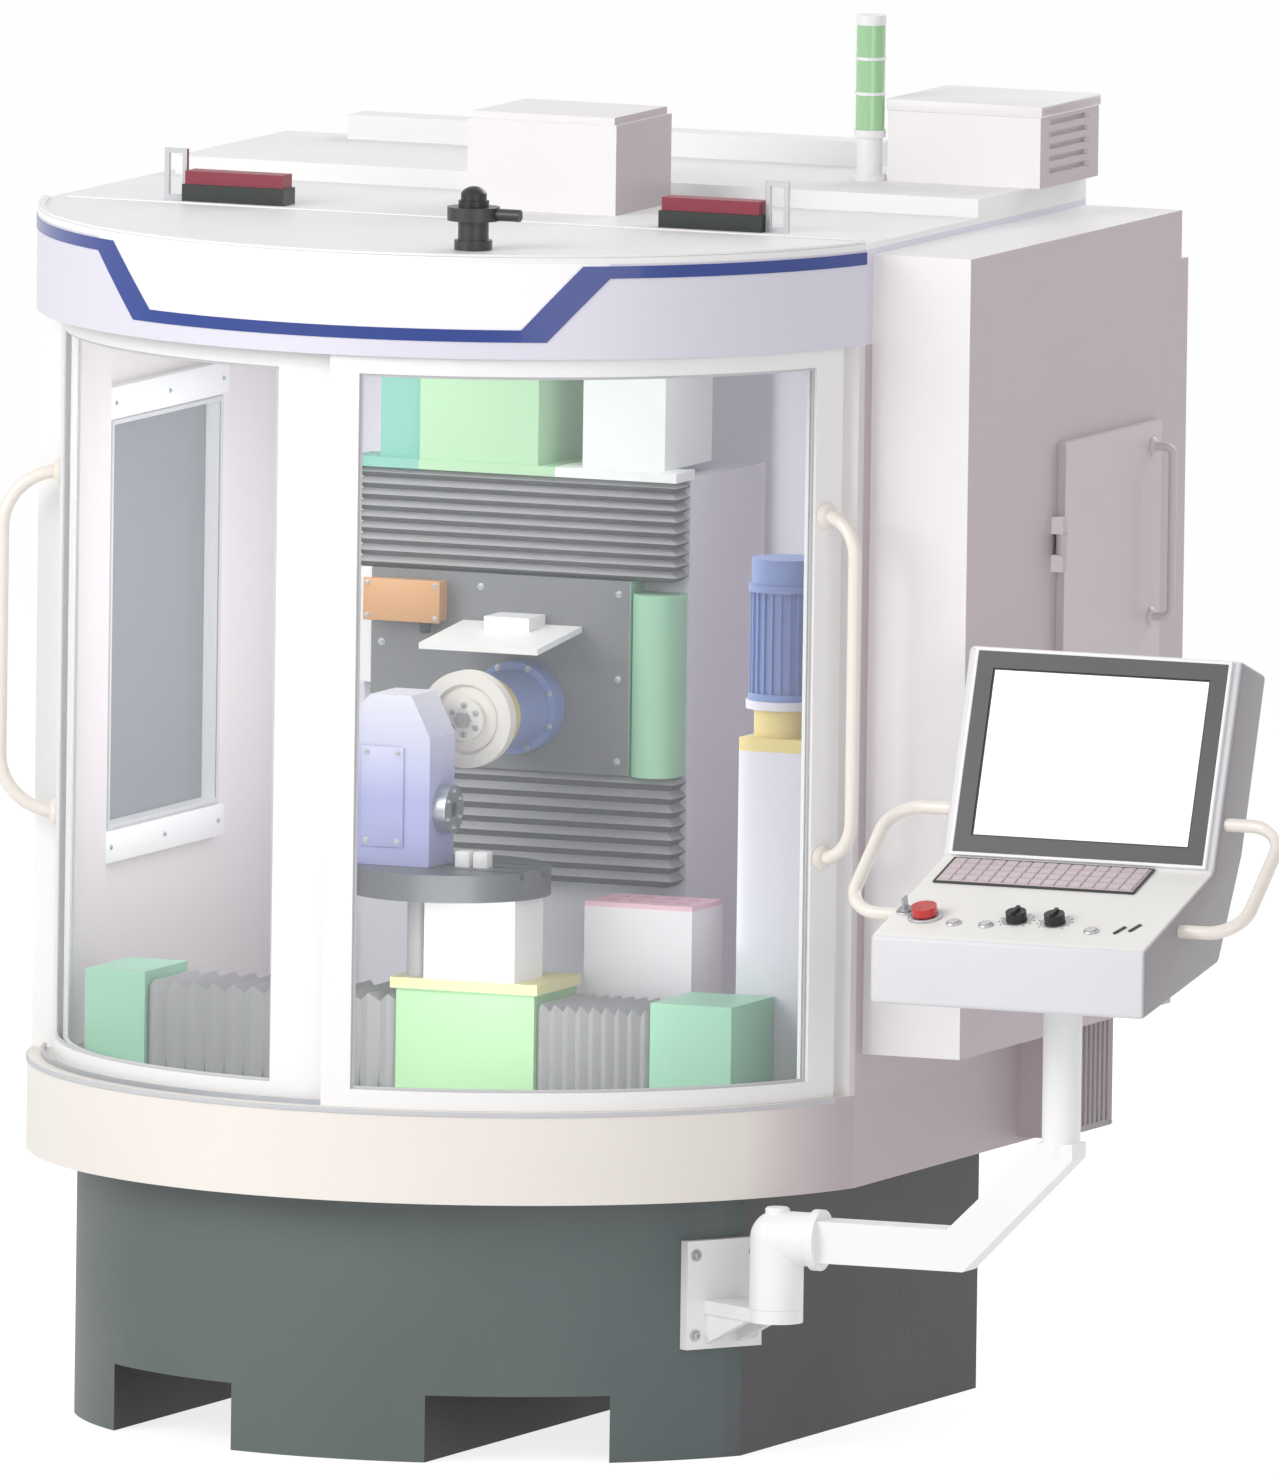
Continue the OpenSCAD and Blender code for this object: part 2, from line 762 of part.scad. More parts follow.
// Skirted knob with a domed top
module regulator_knob() {
    skirt_r = 25;
    skirt_h = 10;
    grip_r = 21;
    grip_h = 22;
    dome_h = 14;
    dome_r = norm([grip_r, dome_h]);
    color("#17181a") translate([reg_x, reg_y, roof_z + reg_h + slide_gap]) difference() {
        union() {
            cylinder(r = skirt_r, h = skirt_h);
            cylinder(r = grip_r, h = grip_h);
            translate([0, 0, grip_h]) intersection() {
                translate([0, 0, -dome_h]) sphere(r = dome_r);
                cylinder(r = grip_r, h = dome_r);
            }
        }
        translate([0, 0, -over]) cylinder(r = reg_stem_r + run_gap, h = reg_stem_l + 2 * over);
    }
}

// Bed of the lower slide with its end blocks
module x_bed() {
    color("#a9d8bd") {
        block([-bed_l, -bed_front, floor_z], [bed_x1, bed_d - bed_front, way_z]);
        block([-bed_l, -bed_front, way_z - over], [block_left - bed_l, bed_d - bed_front, way_z + block_h]);
        block([bed_x1 - block_right, -bed_front, way_z - over],
            [bed_x1, bed_d - bed_front, way_z + block_h]);
    }
}

pleat = 14;

// Cover with pleats round its top, front and back, along +X
module x_cover(x0, x1, count) {
    room = 12;
    high = block_h - room;
    length = x1 - x0;
    half = bed_d / 2 - 2;
    low = high - pleat;
    side = pleats(length, count, half, half - pleat);
    translate([x0, bed_d / 2 - bed_front, way_z]) intersection() {
        rotate([90, 0, 0]) translate([0, 0, -bed_d]) linear_extrude(2 * bed_d)
            polygon(concat([[0, 0]], pleats(length, count, high, low), [[length, 0]]));
        linear_extrude(block_h)
            polygon(concat(side, [for (i = [len(side) - 1 : -1 : 0]) [side[i].x, -side[i].y]]));
    }
}

module x_bellows_left() {
    color("#8b8b8d") x_cover(block_left - bed_l, saddle_x - saddle_l / 2, 13);
}

module x_bellows_right() {
    color("#8b8b8d") x_cover(saddle_x + saddle_l / 2, bed_x1 - block_right, 9);
}

// Saddle with the yellow plate bolted on top of it
module x_saddle() {
    x0 = saddle_x - saddle_l / 2;
    plate_lap = 8;
    color("#b9deb4") block([x0, -bed_front, way_z + slide_gap],
        [x0 + saddle_l, bed_d - bed_front, way_z + block_h]);
    color("#d9db9a") block([x0 - plate_lap, -bed_front - plate_lap, way_z + block_h],
        [x0 + saddle_l + plate_lap, bed_d - bed_front, way_z + block_h + plate_t]);
}

// Pedestal with a coolant pipe at its left front
module table_pedestal() {
    z0 = way_z + block_h + plate_t;
    left = 20;
    right = 140;
    half = 60;
    pipe_r = 19;
    pipe_gap = 3;
    color("#e6e6ea") {
        block([table_x - left, table_y - half, z0], [table_x + right, table_y + half, z0 + pedestal_h]);
        translate([table_x - left - pipe_gap - pipe_r, table_y - half / 2, z0])
            cylinder(r = pipe_r, h = pedestal_h);
    }
}

// Disc with three clamping slots across it
module rotary_table() {
    slot = 12;
    pitch = 60;
    color("#5f6062") translate([table_x, table_y, table_z + slide_gap]) difference() {
        cylinder(r = table_r, h = table_t);
        for (y = [-pitch, 0, pitch])
            translate([-table_r, y - slot / 2, table_t - slot]) cube([2 * table_r, slot, slot + over]);
    }
}

head_off = 13;
head_front = 62;
head_x1 = table_x - head_off;
head_y0 = table_y - head_front;
head_z0 = table_z + slide_gap + table_t;

head_wall = 30;
shaft_r = nose_r - 6;

// Workhead with bevelled upper edges, bored for its spindle
module workhead() {
    bevel = 34;
    top = head_h;
    color("#9aa0d4") difference() {
        translate([head_x1 - head_w, head_y0 + head_d, head_z0]) rotate([90, 0, 0]) linear_extrude(head_d)
            polygon([[0, 0], [head_w, 0], [head_w, top - 2 * bevel], [head_w - bevel, top],
                [bevel, top], [0, top - bevel]]);
        translate([head_x1 - head_w + head_wall, head_y0 + head_d / 2, head_z0 + nose_z])
            rotate([0, 90, 0]) cylinder(r = shaft_r + run_gap, h = head_w);
    }
}

// Shaft and nose of the work spindle, bored for a tool
module work_spindle() {
    end_gap = 10;
    nose_l = 22;
    bore_l = 83;
    shaft_l = head_w - head_wall;
    color("#c4c8ce") translate([head_x1, head_y0 + head_d / 2, head_z0 + nose_z]) rotate([0, 90, 0])
        difference() {
            union() {
                translate([0, 0, end_gap - shaft_l]) cylinder(r = shaft_r, h = shaft_l);
                translate([0, 0, slide_gap]) cylinder(r = nose_r, h = nose_l);
            }
            translate([0, 0, nose_l + over - bore_l]) cylinder(r = work_bore_r, h = bore_l);
        }
}

// Fixed column behind the wheel head
module z_column() {
    color("#dcdce4") block([col_x0, col_y0, floor_z], [col_x1, col_y0 + col_d, col_z1]);
}

// Drive housings on top of the column
module z_drive() {
    y0 = col_y0 - plate_d;
    wide = col_x1 - col_x0;
    foot_h = 15;
    head_room = 150;
    lip = 4;
    top = roof_z - roof_t - head_room;
    foot_z = col_z1 + foot_h;
    color("#b7dcb6") {
        block([col_x0, y0 - lip, col_z1], [col_x1, col_y0 + foot_h, foot_z + over]);
        block([col_x0 + wide * 0.205, y0, foot_z], [col_x0 + wide * 0.57, y0 + col_d * 0.66, top]);
        block([col_x0 + wide * 0.07, y0 + col_d * 0.06, foot_z],
            [col_x0 + wide * 0.205 + over, y0 + col_d * 0.5, top]);
        block([col_x0 + wide * 0.687, y0 + col_d * 0.09, foot_z],
            [col_x1 - wide * 0.06, y0 + col_d * 0.72, top - foot_h]);
        block([col_x0 + wide * 0.25, y0 + plate_d, col_z1],
            [col_x1 - wide * 0.25, y0 + col_d * 0.75, foot_z]);
    }
}

// Cover with pleats across its front and sides, along +Z
module z_cover(z0, z1, count) {
    length = z1 - z0;
    width = col_x1 - col_x0;
    side = pleats(length, count, width / 2, width / 2 - pleat);
    front = pleats(length, count, plate_d, plate_d - pleat);
    translate([(col_x0 + col_x1) / 2, col_y0, z0]) intersection() {
        rotate([90, -90, 0]) linear_extrude(plate_d)
            polygon(concat(side, [for (i = [len(side) - 1 : -1 : 0]) [side[i].x, -side[i].y]]));
        rotate([0, -90, 0]) translate([0, 0, -width / 2]) linear_extrude(width)
            polygon(concat([[0, 0]], [for (p = front) [p.x, -p.y]], [[length, 0]]));
    }
}

module z_bellows_upper() {
    color("#9c9c9e") z_cover(plate_z0 + plate_h, col_z1, 9);
}

module z_bellows_lower() {
    color("#9c9c9e") z_cover(low_cover_z, plate_z0, 8);
}

// Wheel head plate with its terminal box, side block and rounded side cover
module head_plate() {
    y1 = col_y0 - slide_gap;
    z1 = plate_z0 + plate_h;
    cover_r = 40;
    cover_in = 20;
    step = 4;
    side_low = 130;
    box_w = 130;
    box_d = 36;
    box_h = 64;
    box_top = 16;
    left = col_x0 + box_d;
    color("#7b7c7e") {
        block([left, spindle_y, plate_z0], [col_x1 - 2 * cover_r, y1, z1]);
        block([col_x0 - cover_in, spindle_y + step, plate_z0 + side_low], [left, y1, z1]);
        block([left + step, spindle_y - box_d, z1 - box_top - box_h],
            [left + step + box_w, spindle_y, z1 - box_top]);
        translate([col_x1 - cover_r, spindle_y + cover_in, plate_z0])
            cylinder(r = cover_r, h = plate_h - cover_in);
        block([col_x1 - 2 * cover_r - over, spindle_y + cover_in, plate_z0],
            [col_x1 - step, y1, z1 - cover_in]);
    }
}

bore_in = 60;

// Wheel spindle's housing, bored for the arbor
module spindle_housing() {
    step = 12;
    flange_l = 40;
    wheel_gap = 2;
    color("#7f92c6") translate([wheel_x, spindle_y, wheel_z]) rotate([90, 0, 0]) difference() {
        union() {
            cylinder(r = housing_r, h = housing_l - step);
            cylinder(r = housing_r + step, h = flange_l);
            cylinder(r = housing_r - step, h = housing_l - wheel_gap);
        }
        translate([0, 0, bore_in]) cylinder(r = arbor_r + run_gap, h = housing_l);
    }
}

// Cup wheel with its flange, on its arbor
module grinding_wheel() {
    cup = 10;
    rim = 22;
    clamp_r = 34;
    clamp_h = 17;
    nut_h = 16;
    color("#e8e6e0") translate([wheel_x, wheel_y, wheel_z]) rotate([90, 0, 0]) {
        difference() {
            cylinder(r = wheel_r, h = wheel_t);
            translate([0, 0, wheel_t - cup]) cylinder(r = wheel_r - rim, h = cup + over);
        }
        translate([0, 0, wheel_t - cup - over]) cylinder(r = clamp_r, h = clamp_h);
        translate([0, 0, wheel_t]) cylinder(r = arbor_r, h = nut_h, $fn = 6);
        translate([0, 0, bore_in + cup - housing_l]) cylinder(r = arbor_r, h = housing_l - bore_in);
    }
}

// Sloped splash cover over the wheel
module wheel_guard() {
    short = 25;
    low = 88;
    slope = 6;
    guard = [210, housing_l - short, 10];
    boss = [80, 70, 26];
    color("#f2f2f2") translate([wheel_x, spindle_y, plate_z0 + plate_h - low]) {
        rotate([slope, 0, 0]) translate([-guard.x / 2, -guard.y, 0]) cube(guard);
        translate([-boss.x / 2, -boss.y, 0]) cube(boss);
    }
}

pump_w = 110;
pump_gap = 29;
pump_x = rim_r - pump_w - pump_gap;
pump_y = -50;
pump_z = 1212;

// Square coolant column with a round neck and the motor's flange
module pump_column() {
    high = pump_z - floor_z;
    neck_h = 60;
    flange_h = 14;
    color("#d9d9ea") translate([pump_x, pump_y, floor_z]) {
        translate([-pump_w / 2, -pump_w / 2, 0]) cube([pump_w, pump_w, high - neck_h]);
        cylinder(d = pump_w - flange_h, h = high);
        translate([0, 0, high - flange_h]) cylinder(d = pump_w + flange_h, h = flange_h);
    }
}

// Motor with a foot flange, cooling fins along its body and a fan cowl on top
module pump_motor() {
    foot_h = 12;
    body_h = 190;
    body_r = 52;
    fin_r = 58;
    fin_t = 3;
    fins = 24;
    cowl_h = 42;
    color("#7f92c6") translate([pump_x, pump_y, pump_z]) {
        cylinder(r = fin_r, h = foot_h);
        cylinder(r = body_r, h = body_h);
        for (i = [0 : fins - 1])
            rotate([0, 0, i * 360 / fins]) translate([0, -fin_t / 2, foot_h - over])
                cube([fin_r - over, fin_t, body_h - foot_h]);
        translate([0, 0, body_h - foot_h]) cylinder(r = fin_r + 2, h = foot_h);
        translate([0, 0, body_h]) cylinder(r = fin_r - 3, h = cowl_h);
    }
}

rack_w = 190;
rack_d = 130;
rack_gap = 89;
rack_front = 30;
rack_low = 20;

// Box for tools with two rows of sockets in its top
module tool_rack() {
    x0 = pump_x - pump_w / 2 - rack_gap - rack_w;
    y0 = pump_y - rack_front;
    top = table_z - rack_low;
    socket_r = 12;
    deep = 40;
    color("#e9e4ea") difference() {
        block([x0, y0, floor_z], [x0 + rack_w, y0 + rack_d, top]);
        for (i = [0 : 3], j = [0 : 1])
            translate([x0 + rack_w * (0.17 + i * 0.22), y0 + rack_d * (0.29 + j * 0.42), top - deep])
                cylinder(r = socket_r, h = deep + over);
    }
}

pin_h = 110;
spigot_r = post_r - 6;
spigot_l = 60;

// Wall plate, gusseted shelf and pivot pin of the swing arm
module arm_bracket() {
    plate_w = 150;
    gusset_t = 12;
    gusset_in = 3;
    shelf_half = elbow_r - 4;
    below = 80;
    above = 98;
    foot = 8;
    tip = 30;
    plate_low = shelf_z - below;
    plate_high = shelf_z + above;
    in_r = base_r - 20;
    face_r = base_r + 14;
    color("#efefef") {
        difference() {
            rotate([0, 0, front_a + arm_az]) {
                block([in_r, -plate_w / 2, plate_low], [face_r, plate_w / 2, plate_high]);
                block([in_r, -shelf_half, shelf_z - shelf_t], [arm_rad, shelf_half, shelf_z]);
                for (y = [gusset_in - shelf_half, shelf_half - gusset_t - gusset_in])
                    translate([0, y + gusset_t, 0]) rotate([90, 0, 0]) linear_extrude(gusset_t)
                        polygon([[in_r, plate_low + foot], [face_r - over, plate_low + foot],
                            [arm_rad - tip, shelf_z - shelf_t], [arm_rad - tip, shelf_z - shelf_t + over],
                            [in_r, shelf_z - shelf_t + over]]);
            }
            translate([0, 0, -over]) cylinder(r = base_r, h = base_h + over, $fn = 180);
        }
        translate([arm_x, arm_y, shelf_z - shelf_t]) cylinder(r = elbow_r, h = shelf_t);
        translate([arm_x, arm_y, shelf_z - over]) cylinder(r = pivot_r, h = pin_h + over);
    }
}

// Elbow casting, bent tube, post and flange, turning on the bracket's pin
module swing_arm() {
    elbow_l = 70;
    lip = 4;
    lip_w = 14;
    lip_h = 6;
    bend_off = tube_h / 2 * tan(22.5);
    post_off = post_r * tan(22.5);
    rise_z = arm_z + arm_reach - arm_run;
    flange_z = con_z0 - flange_t;
    color("#f0efec") translate([arm_x, arm_y, 0]) {
        difference() {
            union() {
                translate([0, 0, shelf_z + slide_gap])
                    cylinder(r = elbow_r, h = arm_z - shelf_z - slide_gap);
                translate([0, 0, arm_z]) sphere(r = elbow_r);
                translate([0, 0, arm_z]) rotate([0, 90, 0]) cylinder(r = elbow_r, h = elbow_l);
                translate([elbow_l - lip, 0, arm_z]) rotate([0, 90, 0])
                    cylinder(r = elbow_r + lip_h, h = lip_w);
            }
            translate([0, 0, shelf_z - over]) cylinder(r = pivot_r + run_gap, h = pin_h + 2 * over);
        }
        translate([0, tube_w / 2, 0]) rotate([90, 0, 0]) linear_extrude(tube_w)
            polygon([[elbow_l, arm_z - tube_h / 2], [arm_run + bend_off, arm_z - tube_h / 2],
                [arm_reach + post_r, rise_z - post_off], [arm_reach + post_r, rise_z + post_off],
                [arm_reach - post_r, rise_z + post_off], [arm_run - bend_off, arm_z + tube_h / 2],
                [elbow_l, arm_z + tube_h / 2]]);
        translate([arm_reach, 0, rise_z - post_off])
            cylinder(r = post_r, h = flange_z - rise_z + post_off + over);
        translate([arm_reach, 0, flange_z]) cylinder(r = flange_r, h = flange_t - slide_gap);
        translate([arm_reach, 0, flange_z]) cylinder(r = spigot_r, h = flange_t + spigot_l);
    }
}

// Places on the key deck, across from its middle and up from its front edge
keys_u = -38;
keys_below = 9;
estop_at = [-175, 80];
estop_stem_r = 9;
estop_stem_l = 14;
knob_u = [-18, 49];
knob_v = 88;
knob_stem_r = 5;
knob_stem_l = 15;
key_at = [-215, 96];
button_u = [-118, -62, 122];
button_v = 62;
button_r = 8;
button_l = 9;
button_rise = 6;
press_room = 6;
grip_bend = 60;
grip_d = 22;

// Blind bore for a stem, with room to press it
module stem_bore(r, l) {
    translate([0, 0, -l - press_room]) cylinder(r = r + run_gap, h = l + press_room + over);
}

// Console housing: key deck, tilted screen box and the neck over the post
module pendant_housing() {
    heel = 60;
    neck_in = 12;
    neck_h = 90;
    color("#cfcdd0") difference() {
        union() {
            translate([con_x - con_w / 2, con_y0, 0]) rotate([90, 0, 90]) linear_extrude(con_w)
                polygon([[0, con_z0], [0, con_z1], [deck_d, deck_z1], screen_top, back_top, back_low,
                    [post_back + flange_r, con_z0 + heel]]);
            translate([con_x, con_y0 + post_back, con_z0]) cylinder(r = flange_r - neck_in, h = neck_h);
        }
        translate([con_x, con_y0 + post_back, con_z0 - over])
            cylinder(r = spigot_r + run_gap, h = spigot_l + 3 * over);
        on_deck(estop_at.x, estop_at.y) stem_bore(estop_stem_r, estop_stem_l);
        for (u = knob_u) on_deck(u, knob_v) stem_bore(knob_stem_r, knob_stem_l);
        on_deck(key_at.x, key_at.y) stem_bore(knob_stem_r, knob_stem_l);
        for (u = button_u) on_deck(u, button_v) stem_bore(button_r, button_l);
    }
}

// Moves to a place on the key deck, with local +Z out of it
module on_deck(u, v) {
    translate([con_x + u, con_y0 + v * cos(deck_a), con_z1 + v * sin(deck_a)])
        rotate([deck_a, 0, 0]) children();
}

// Moves to the lower middle of the screen face, with local +Y up it and +Z out of it
module on_screen() {
    translate([con_x, con_y0 + deck_d, deck_z1]) rotate([90 - screen_tilt, 0, 0]) children();
}

module screen_bezel() {
    low = (screen_l - bezel_h) / 2;
    color("#4a4b4d") on_screen() difference() {
        translate([-bezel_w / 2, low, 0]) cube([bezel_w, bezel_h, bezel_t]);
        translate([-view_w / 2, (screen_l - view_h) / 2, -over]) cube([view_w, view_h, bezel_t + 2 * over]);
    }
}

module screen_panel() {
    color("#f4f6f6") on_screen() translate([-view_w / 2, (screen_l - view_h) / 2, 0])
        cube([view_w, view_h, bezel_t - 3]);
}

module keyboard() {
    rows = 4;
    columns = 15;
    key_gap = 4;
    key_w = (keys_w - key_gap) / columns;
    key_d = (keys_d - key_gap) / rows;
    tray_h = 3;
    key_h = 3;
    low = norm([deck_d, deck_rise]) - keys_d - keys_below;
    color("#b9a9af") on_deck(keys_u, low) translate([-keys_w / 2, 0, 0]) {
        cube([keys_w, keys_d, tray_h]);
        for (i = [0 : columns - 1], j = [0 : rows - 1])
            translate([key_gap + i * key_w, key_gap + j * key_d, tray_h - over])
                cube([key_w - key_gap, key_d - key_gap, key_h + over]);
    }
}

// Handles on both sides of the console, from the key deck's side up to the screen's side
module pendant_handles() {
    low = [0.5 * deck_d, con_z0 + 1.15 * con_front];
    high = [1.15 * deck_d, deck_z1 + 0.21 * screen_l];
    span = norm(high - low);
    lean = atan2(high.x - low.x, high.y - low.y);
    color("#e4e2e2") for (side = [-1, 1])
        translate([con_x + side * con_w / 2, con_y0 + low.x, low.y]) mirror([side < 0 ? 1 : 0, 0, 0])
            rotate([-lean, 0, 0]) bow(span, grip_out, grip_bend, grip_d);
}

module estop_button() {
    rise = 6;
    head_t = 14;
    color("#c82828") on_deck(estop_at.x, estop_at.y) {
        translate([0, 0, -estop_stem_l]) cylinder(r = estop_stem_r, h = estop_stem_l + rise + over);
        translate([0, 0, rise]) cylinder(d = estop_d, h = head_t);
    }
}

// Override knob with a pointer bar, on its stem
module knob(u) {
    bar = 6;
    high = 16;
    on_deck(u, knob_v) {
        translate([0, 0, -knob_stem_l]) cylinder(r = knob_stem_r, h = knob_stem_l + over);
        translate([0, 0, slide_gap]) cylinder(d = knob_d, h = high);
        translate([-bar / 2, bar / 2 - knob_d / 2, high - over]) cube([bar, knob_d - bar, bar]);
    }
}

module feed_knob() {
    color("#1c1d1f") knob(knob_u[0]);
}

module speed_knob() {
    color("#1c1d1f") knob(knob_u[1]);
}

// Key switch with its key's bow
module key_switch() {
    barrel_r = 11;
    barrel_h = 7;
    bow_t = 4;
    bow_w = 18;
    color("#6a6c70") on_deck(key_at.x, key_at.y) {
        translate([0, 0, -knob_stem_l]) cylinder(r = knob_stem_r, h = knob_stem_l + over);
        translate([0, 0, slide_gap]) cylinder(r = barrel_r, h = barrel_h);
        translate([-bow_t / 2, -bow_w / 2, barrel_h]) cube([bow_t, bow_w, bow_w]);
    }
}

module push_button(i) {
    color("#d8d4d6") on_deck(button_u[i], button_v) translate([0, 0, -button_l])
        cylinder(r = button_r, h = button_l + button_rise);
}

module start_button() {
    push_button(0);
}

module stop_button() {
    push_button(1);
}

module reset_button() {
    push_button(2);
}

bed_casting();
drip_tray();
door_rails();
left_wall();
left_window();
right_wall();
back_wall();
header_band();
blue_stripe();
roof_panel();
left_door_frame();
left_door_glass();
left_door_handle();
right_door_frame();
right_door_glass();
right_door_handle();
cabinet_body();
cabinet_door();
drive_rack();
side_vent();
motor_cover();
mist_collector();
signal_post();
signal_lens();
interlock_switches();
regulator_body();
regulator_knob();
x_bed();
x_bellows_left();
x_bellows_right();
x_saddle();
table_pedestal();
rotary_table();
workhead();
work_spindle();
z_column();
z_drive();
z_bellows_upper();
z_bellows_lower();
head_plate();
spindle_housing();
grinding_wheel();
wheel_guard();
pump_column();
pump_motor();
tool_rack();
arm_bracket();
swing_arm();
pendant_housing();
screen_bezel();
screen_panel();
keyboard();
estop_button();
feed_knob();
speed_knob();
pendant_handles();
key_switch();
start_button();
stop_button();
reset_button();
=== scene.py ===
import json
import math

import bpy
from mathutils import Matrix, Quaternion, Vector


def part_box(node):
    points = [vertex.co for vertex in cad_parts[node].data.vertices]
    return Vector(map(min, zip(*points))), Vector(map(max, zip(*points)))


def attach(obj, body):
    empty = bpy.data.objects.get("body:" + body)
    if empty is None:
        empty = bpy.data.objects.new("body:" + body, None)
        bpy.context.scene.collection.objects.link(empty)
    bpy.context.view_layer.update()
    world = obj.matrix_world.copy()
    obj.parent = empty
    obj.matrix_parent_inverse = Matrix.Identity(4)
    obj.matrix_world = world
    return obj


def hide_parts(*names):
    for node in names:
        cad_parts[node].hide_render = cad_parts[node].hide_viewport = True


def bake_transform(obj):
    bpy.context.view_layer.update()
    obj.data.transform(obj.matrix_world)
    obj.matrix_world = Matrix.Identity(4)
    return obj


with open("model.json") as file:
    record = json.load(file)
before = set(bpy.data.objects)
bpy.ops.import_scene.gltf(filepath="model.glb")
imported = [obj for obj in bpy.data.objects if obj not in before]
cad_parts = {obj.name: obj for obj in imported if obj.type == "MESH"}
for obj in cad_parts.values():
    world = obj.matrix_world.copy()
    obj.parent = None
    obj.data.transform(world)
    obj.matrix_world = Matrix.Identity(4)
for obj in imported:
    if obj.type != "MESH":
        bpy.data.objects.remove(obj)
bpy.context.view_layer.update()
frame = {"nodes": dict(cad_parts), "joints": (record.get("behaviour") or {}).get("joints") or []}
solids = frame["nodes"]
joints = {joint["name"]: joint for joint in frame["joints"]}
print("frame loaded:", len(solids), "solids")

# Camera at the photograph's angle, very far off because the picture is drawn almost in parallel
photoView = {
    "azimuth": 22.425,
    "elevation": 6.357,
    "roll": 0.791,
    "distance": 85.0,
    "frameHeight": 2.4123,
    "aim": (0.2261, 0.096, 1.1181),
}


def placeCamera(view):
    turn, lift = math.radians(view["azimuth"]), math.radians(view["elevation"])
    back = Vector((math.sin(turn) * math.cos(lift), -math.cos(turn) * math.cos(lift), math.sin(lift)))
    lensData = bpy.data.cameras.new("studioCamera")
    lensData.lens = lensData.sensor_width * view["distance"] / view["frameHeight"]
    lensData.clip_end = 2 * view["distance"]
    camera = bpy.data.objects.new("studioCamera", lensData)
    bpy.context.scene.collection.objects.link(camera)
    camera.location = Vector(view["aim"]) + back * view["distance"]
    camera.rotation_mode = "QUATERNION"
    roll = Quaternion((0, 0, 1), math.radians(view["roll"]))
    camera.rotation_quaternion = (-back).to_track_quat("-Z", "Y") @ roll
    bpy.context.scene.camera = camera


placeCamera(photoView)
print("camera placed")


# Node and colour helpers
def linear(hexColour):
    steps = [int(hexColour[i:i + 2], 16) / 255 for i in (1, 3, 5)]
    return tuple(c / 12.92 if c <= 0.04045 else ((c + 0.055) / 1.055) ** 2.4 for c in steps) + (1.0,)


def addNode(tree, kind, settings=None, links=None):
    node = tree.nodes.new(kind)
    for key, value in (settings or {}).items():
        if isinstance(key, str) and hasattr(node, key):
            setattr(node, key, value)
        else:
            node.inputs[key].default_value = value
    for key, source in (links or {}).items():
        tree.links.new(source, node.inputs[key])
    return node


def newMaterial(name):
    material = bpy.data.materials.new(name)
    material.use_nodes = True
    material.node_tree.nodes.clear()
    return material, material.node_tree


def perMetre(sizeMm):
    return 1000.0 / sizeMm


# A paint or plastic: two close tones in soft patches, a fine skin in the bump, and zones of other colours,
# each with tests on place (X, Y, Z) or on the way the surface faces (nX, nY, nZ)
def skinFinish(name, tone, shade, rough, skinMm=6, skinDepth=0.0004, patchMm=420, zones=(), metallic=0.0,
               coat=0.0, stretch=(1, 1, 1), strength=0.35, spread=(0.05, 0.06)):
    material, tree = newMaterial(name)
    place = addNode(tree, "ShaderNodeTexCoord").outputs["Object"]
    run = addNode(tree, "ShaderNodeMapping", {"Scale": stretch}, {"Vector": place}).outputs[0]
    patch = addNode(tree, "ShaderNodeTexNoise", {"Scale": perMetre(patchMm), "Detail": 3.0},
                    {"Vector": place})
    colour = addNode(tree, "ShaderNodeMix", {"data_type": "RGBA", 6: linear(tone), 7: linear(shade)},
                     {"Factor": patch.outputs["Fac"]}).outputs[2]
    axes = addNode(tree, "ShaderNodeSeparateXYZ", None, {"Vector": place}).outputs
    normals = addNode(tree, "ShaderNodeSeparateXYZ", None,
                      {"Vector": addNode(tree, "ShaderNodeNewGeometry").outputs["Normal"]}).outputs
    for zoneTone, tests in zones:
        mask = None
        for axis, limit, above, soft in tests:
            source = normals[axis[1]] if axis[0] == "n" else axes[axis]
            ends = (limit - soft, limit + soft) if above else (limit + soft, limit - soft)
            span = {"clamp": True, "From Min": ends[0], "From Max": ends[1]}
            step = addNode(tree, "ShaderNodeMapRange", span, {"Value": source}).outputs[0]
            mask = step if mask is None else addNode(tree, "ShaderNodeMath", {"operation": "MULTIPLY"},
                                                     {0: mask, 1: step}).outputs[0]
        colour = addNode(tree, "ShaderNodeMix", {"data_type": "RGBA", 7: linear(zoneTone)},
                         {"Factor": mask, 6: colour}).outputs[2]
    skin = addNode(tree, "ShaderNodeTexNoise", {"Scale": perMetre(skinMm), "Detail": 2.0}, {"Vector": run})
    bump = addNode(tree, "ShaderNodeBump", {"Strength": strength, "Distance": skinDepth},
                   {"Height": skin.outputs["Fac"]})
    gloss = addNode(tree, "ShaderNodeMapRange", {"To Min": rough - spread[0], "To Max": rough + spread[1]},
                    {"Value": patch.outputs["Fac"]})
    shader = addNode(tree, "ShaderNodeBsdfPrincipled", {"Metallic": metallic, "Coat Weight": coat},
                     {"Base Color": colour, "Roughness": gloss.outputs[0], "Normal": bump.outputs[0]})
    addNode(tree, "ShaderNodeOutputMaterial", None, {"Surface": shader.outputs[0]})
    return material


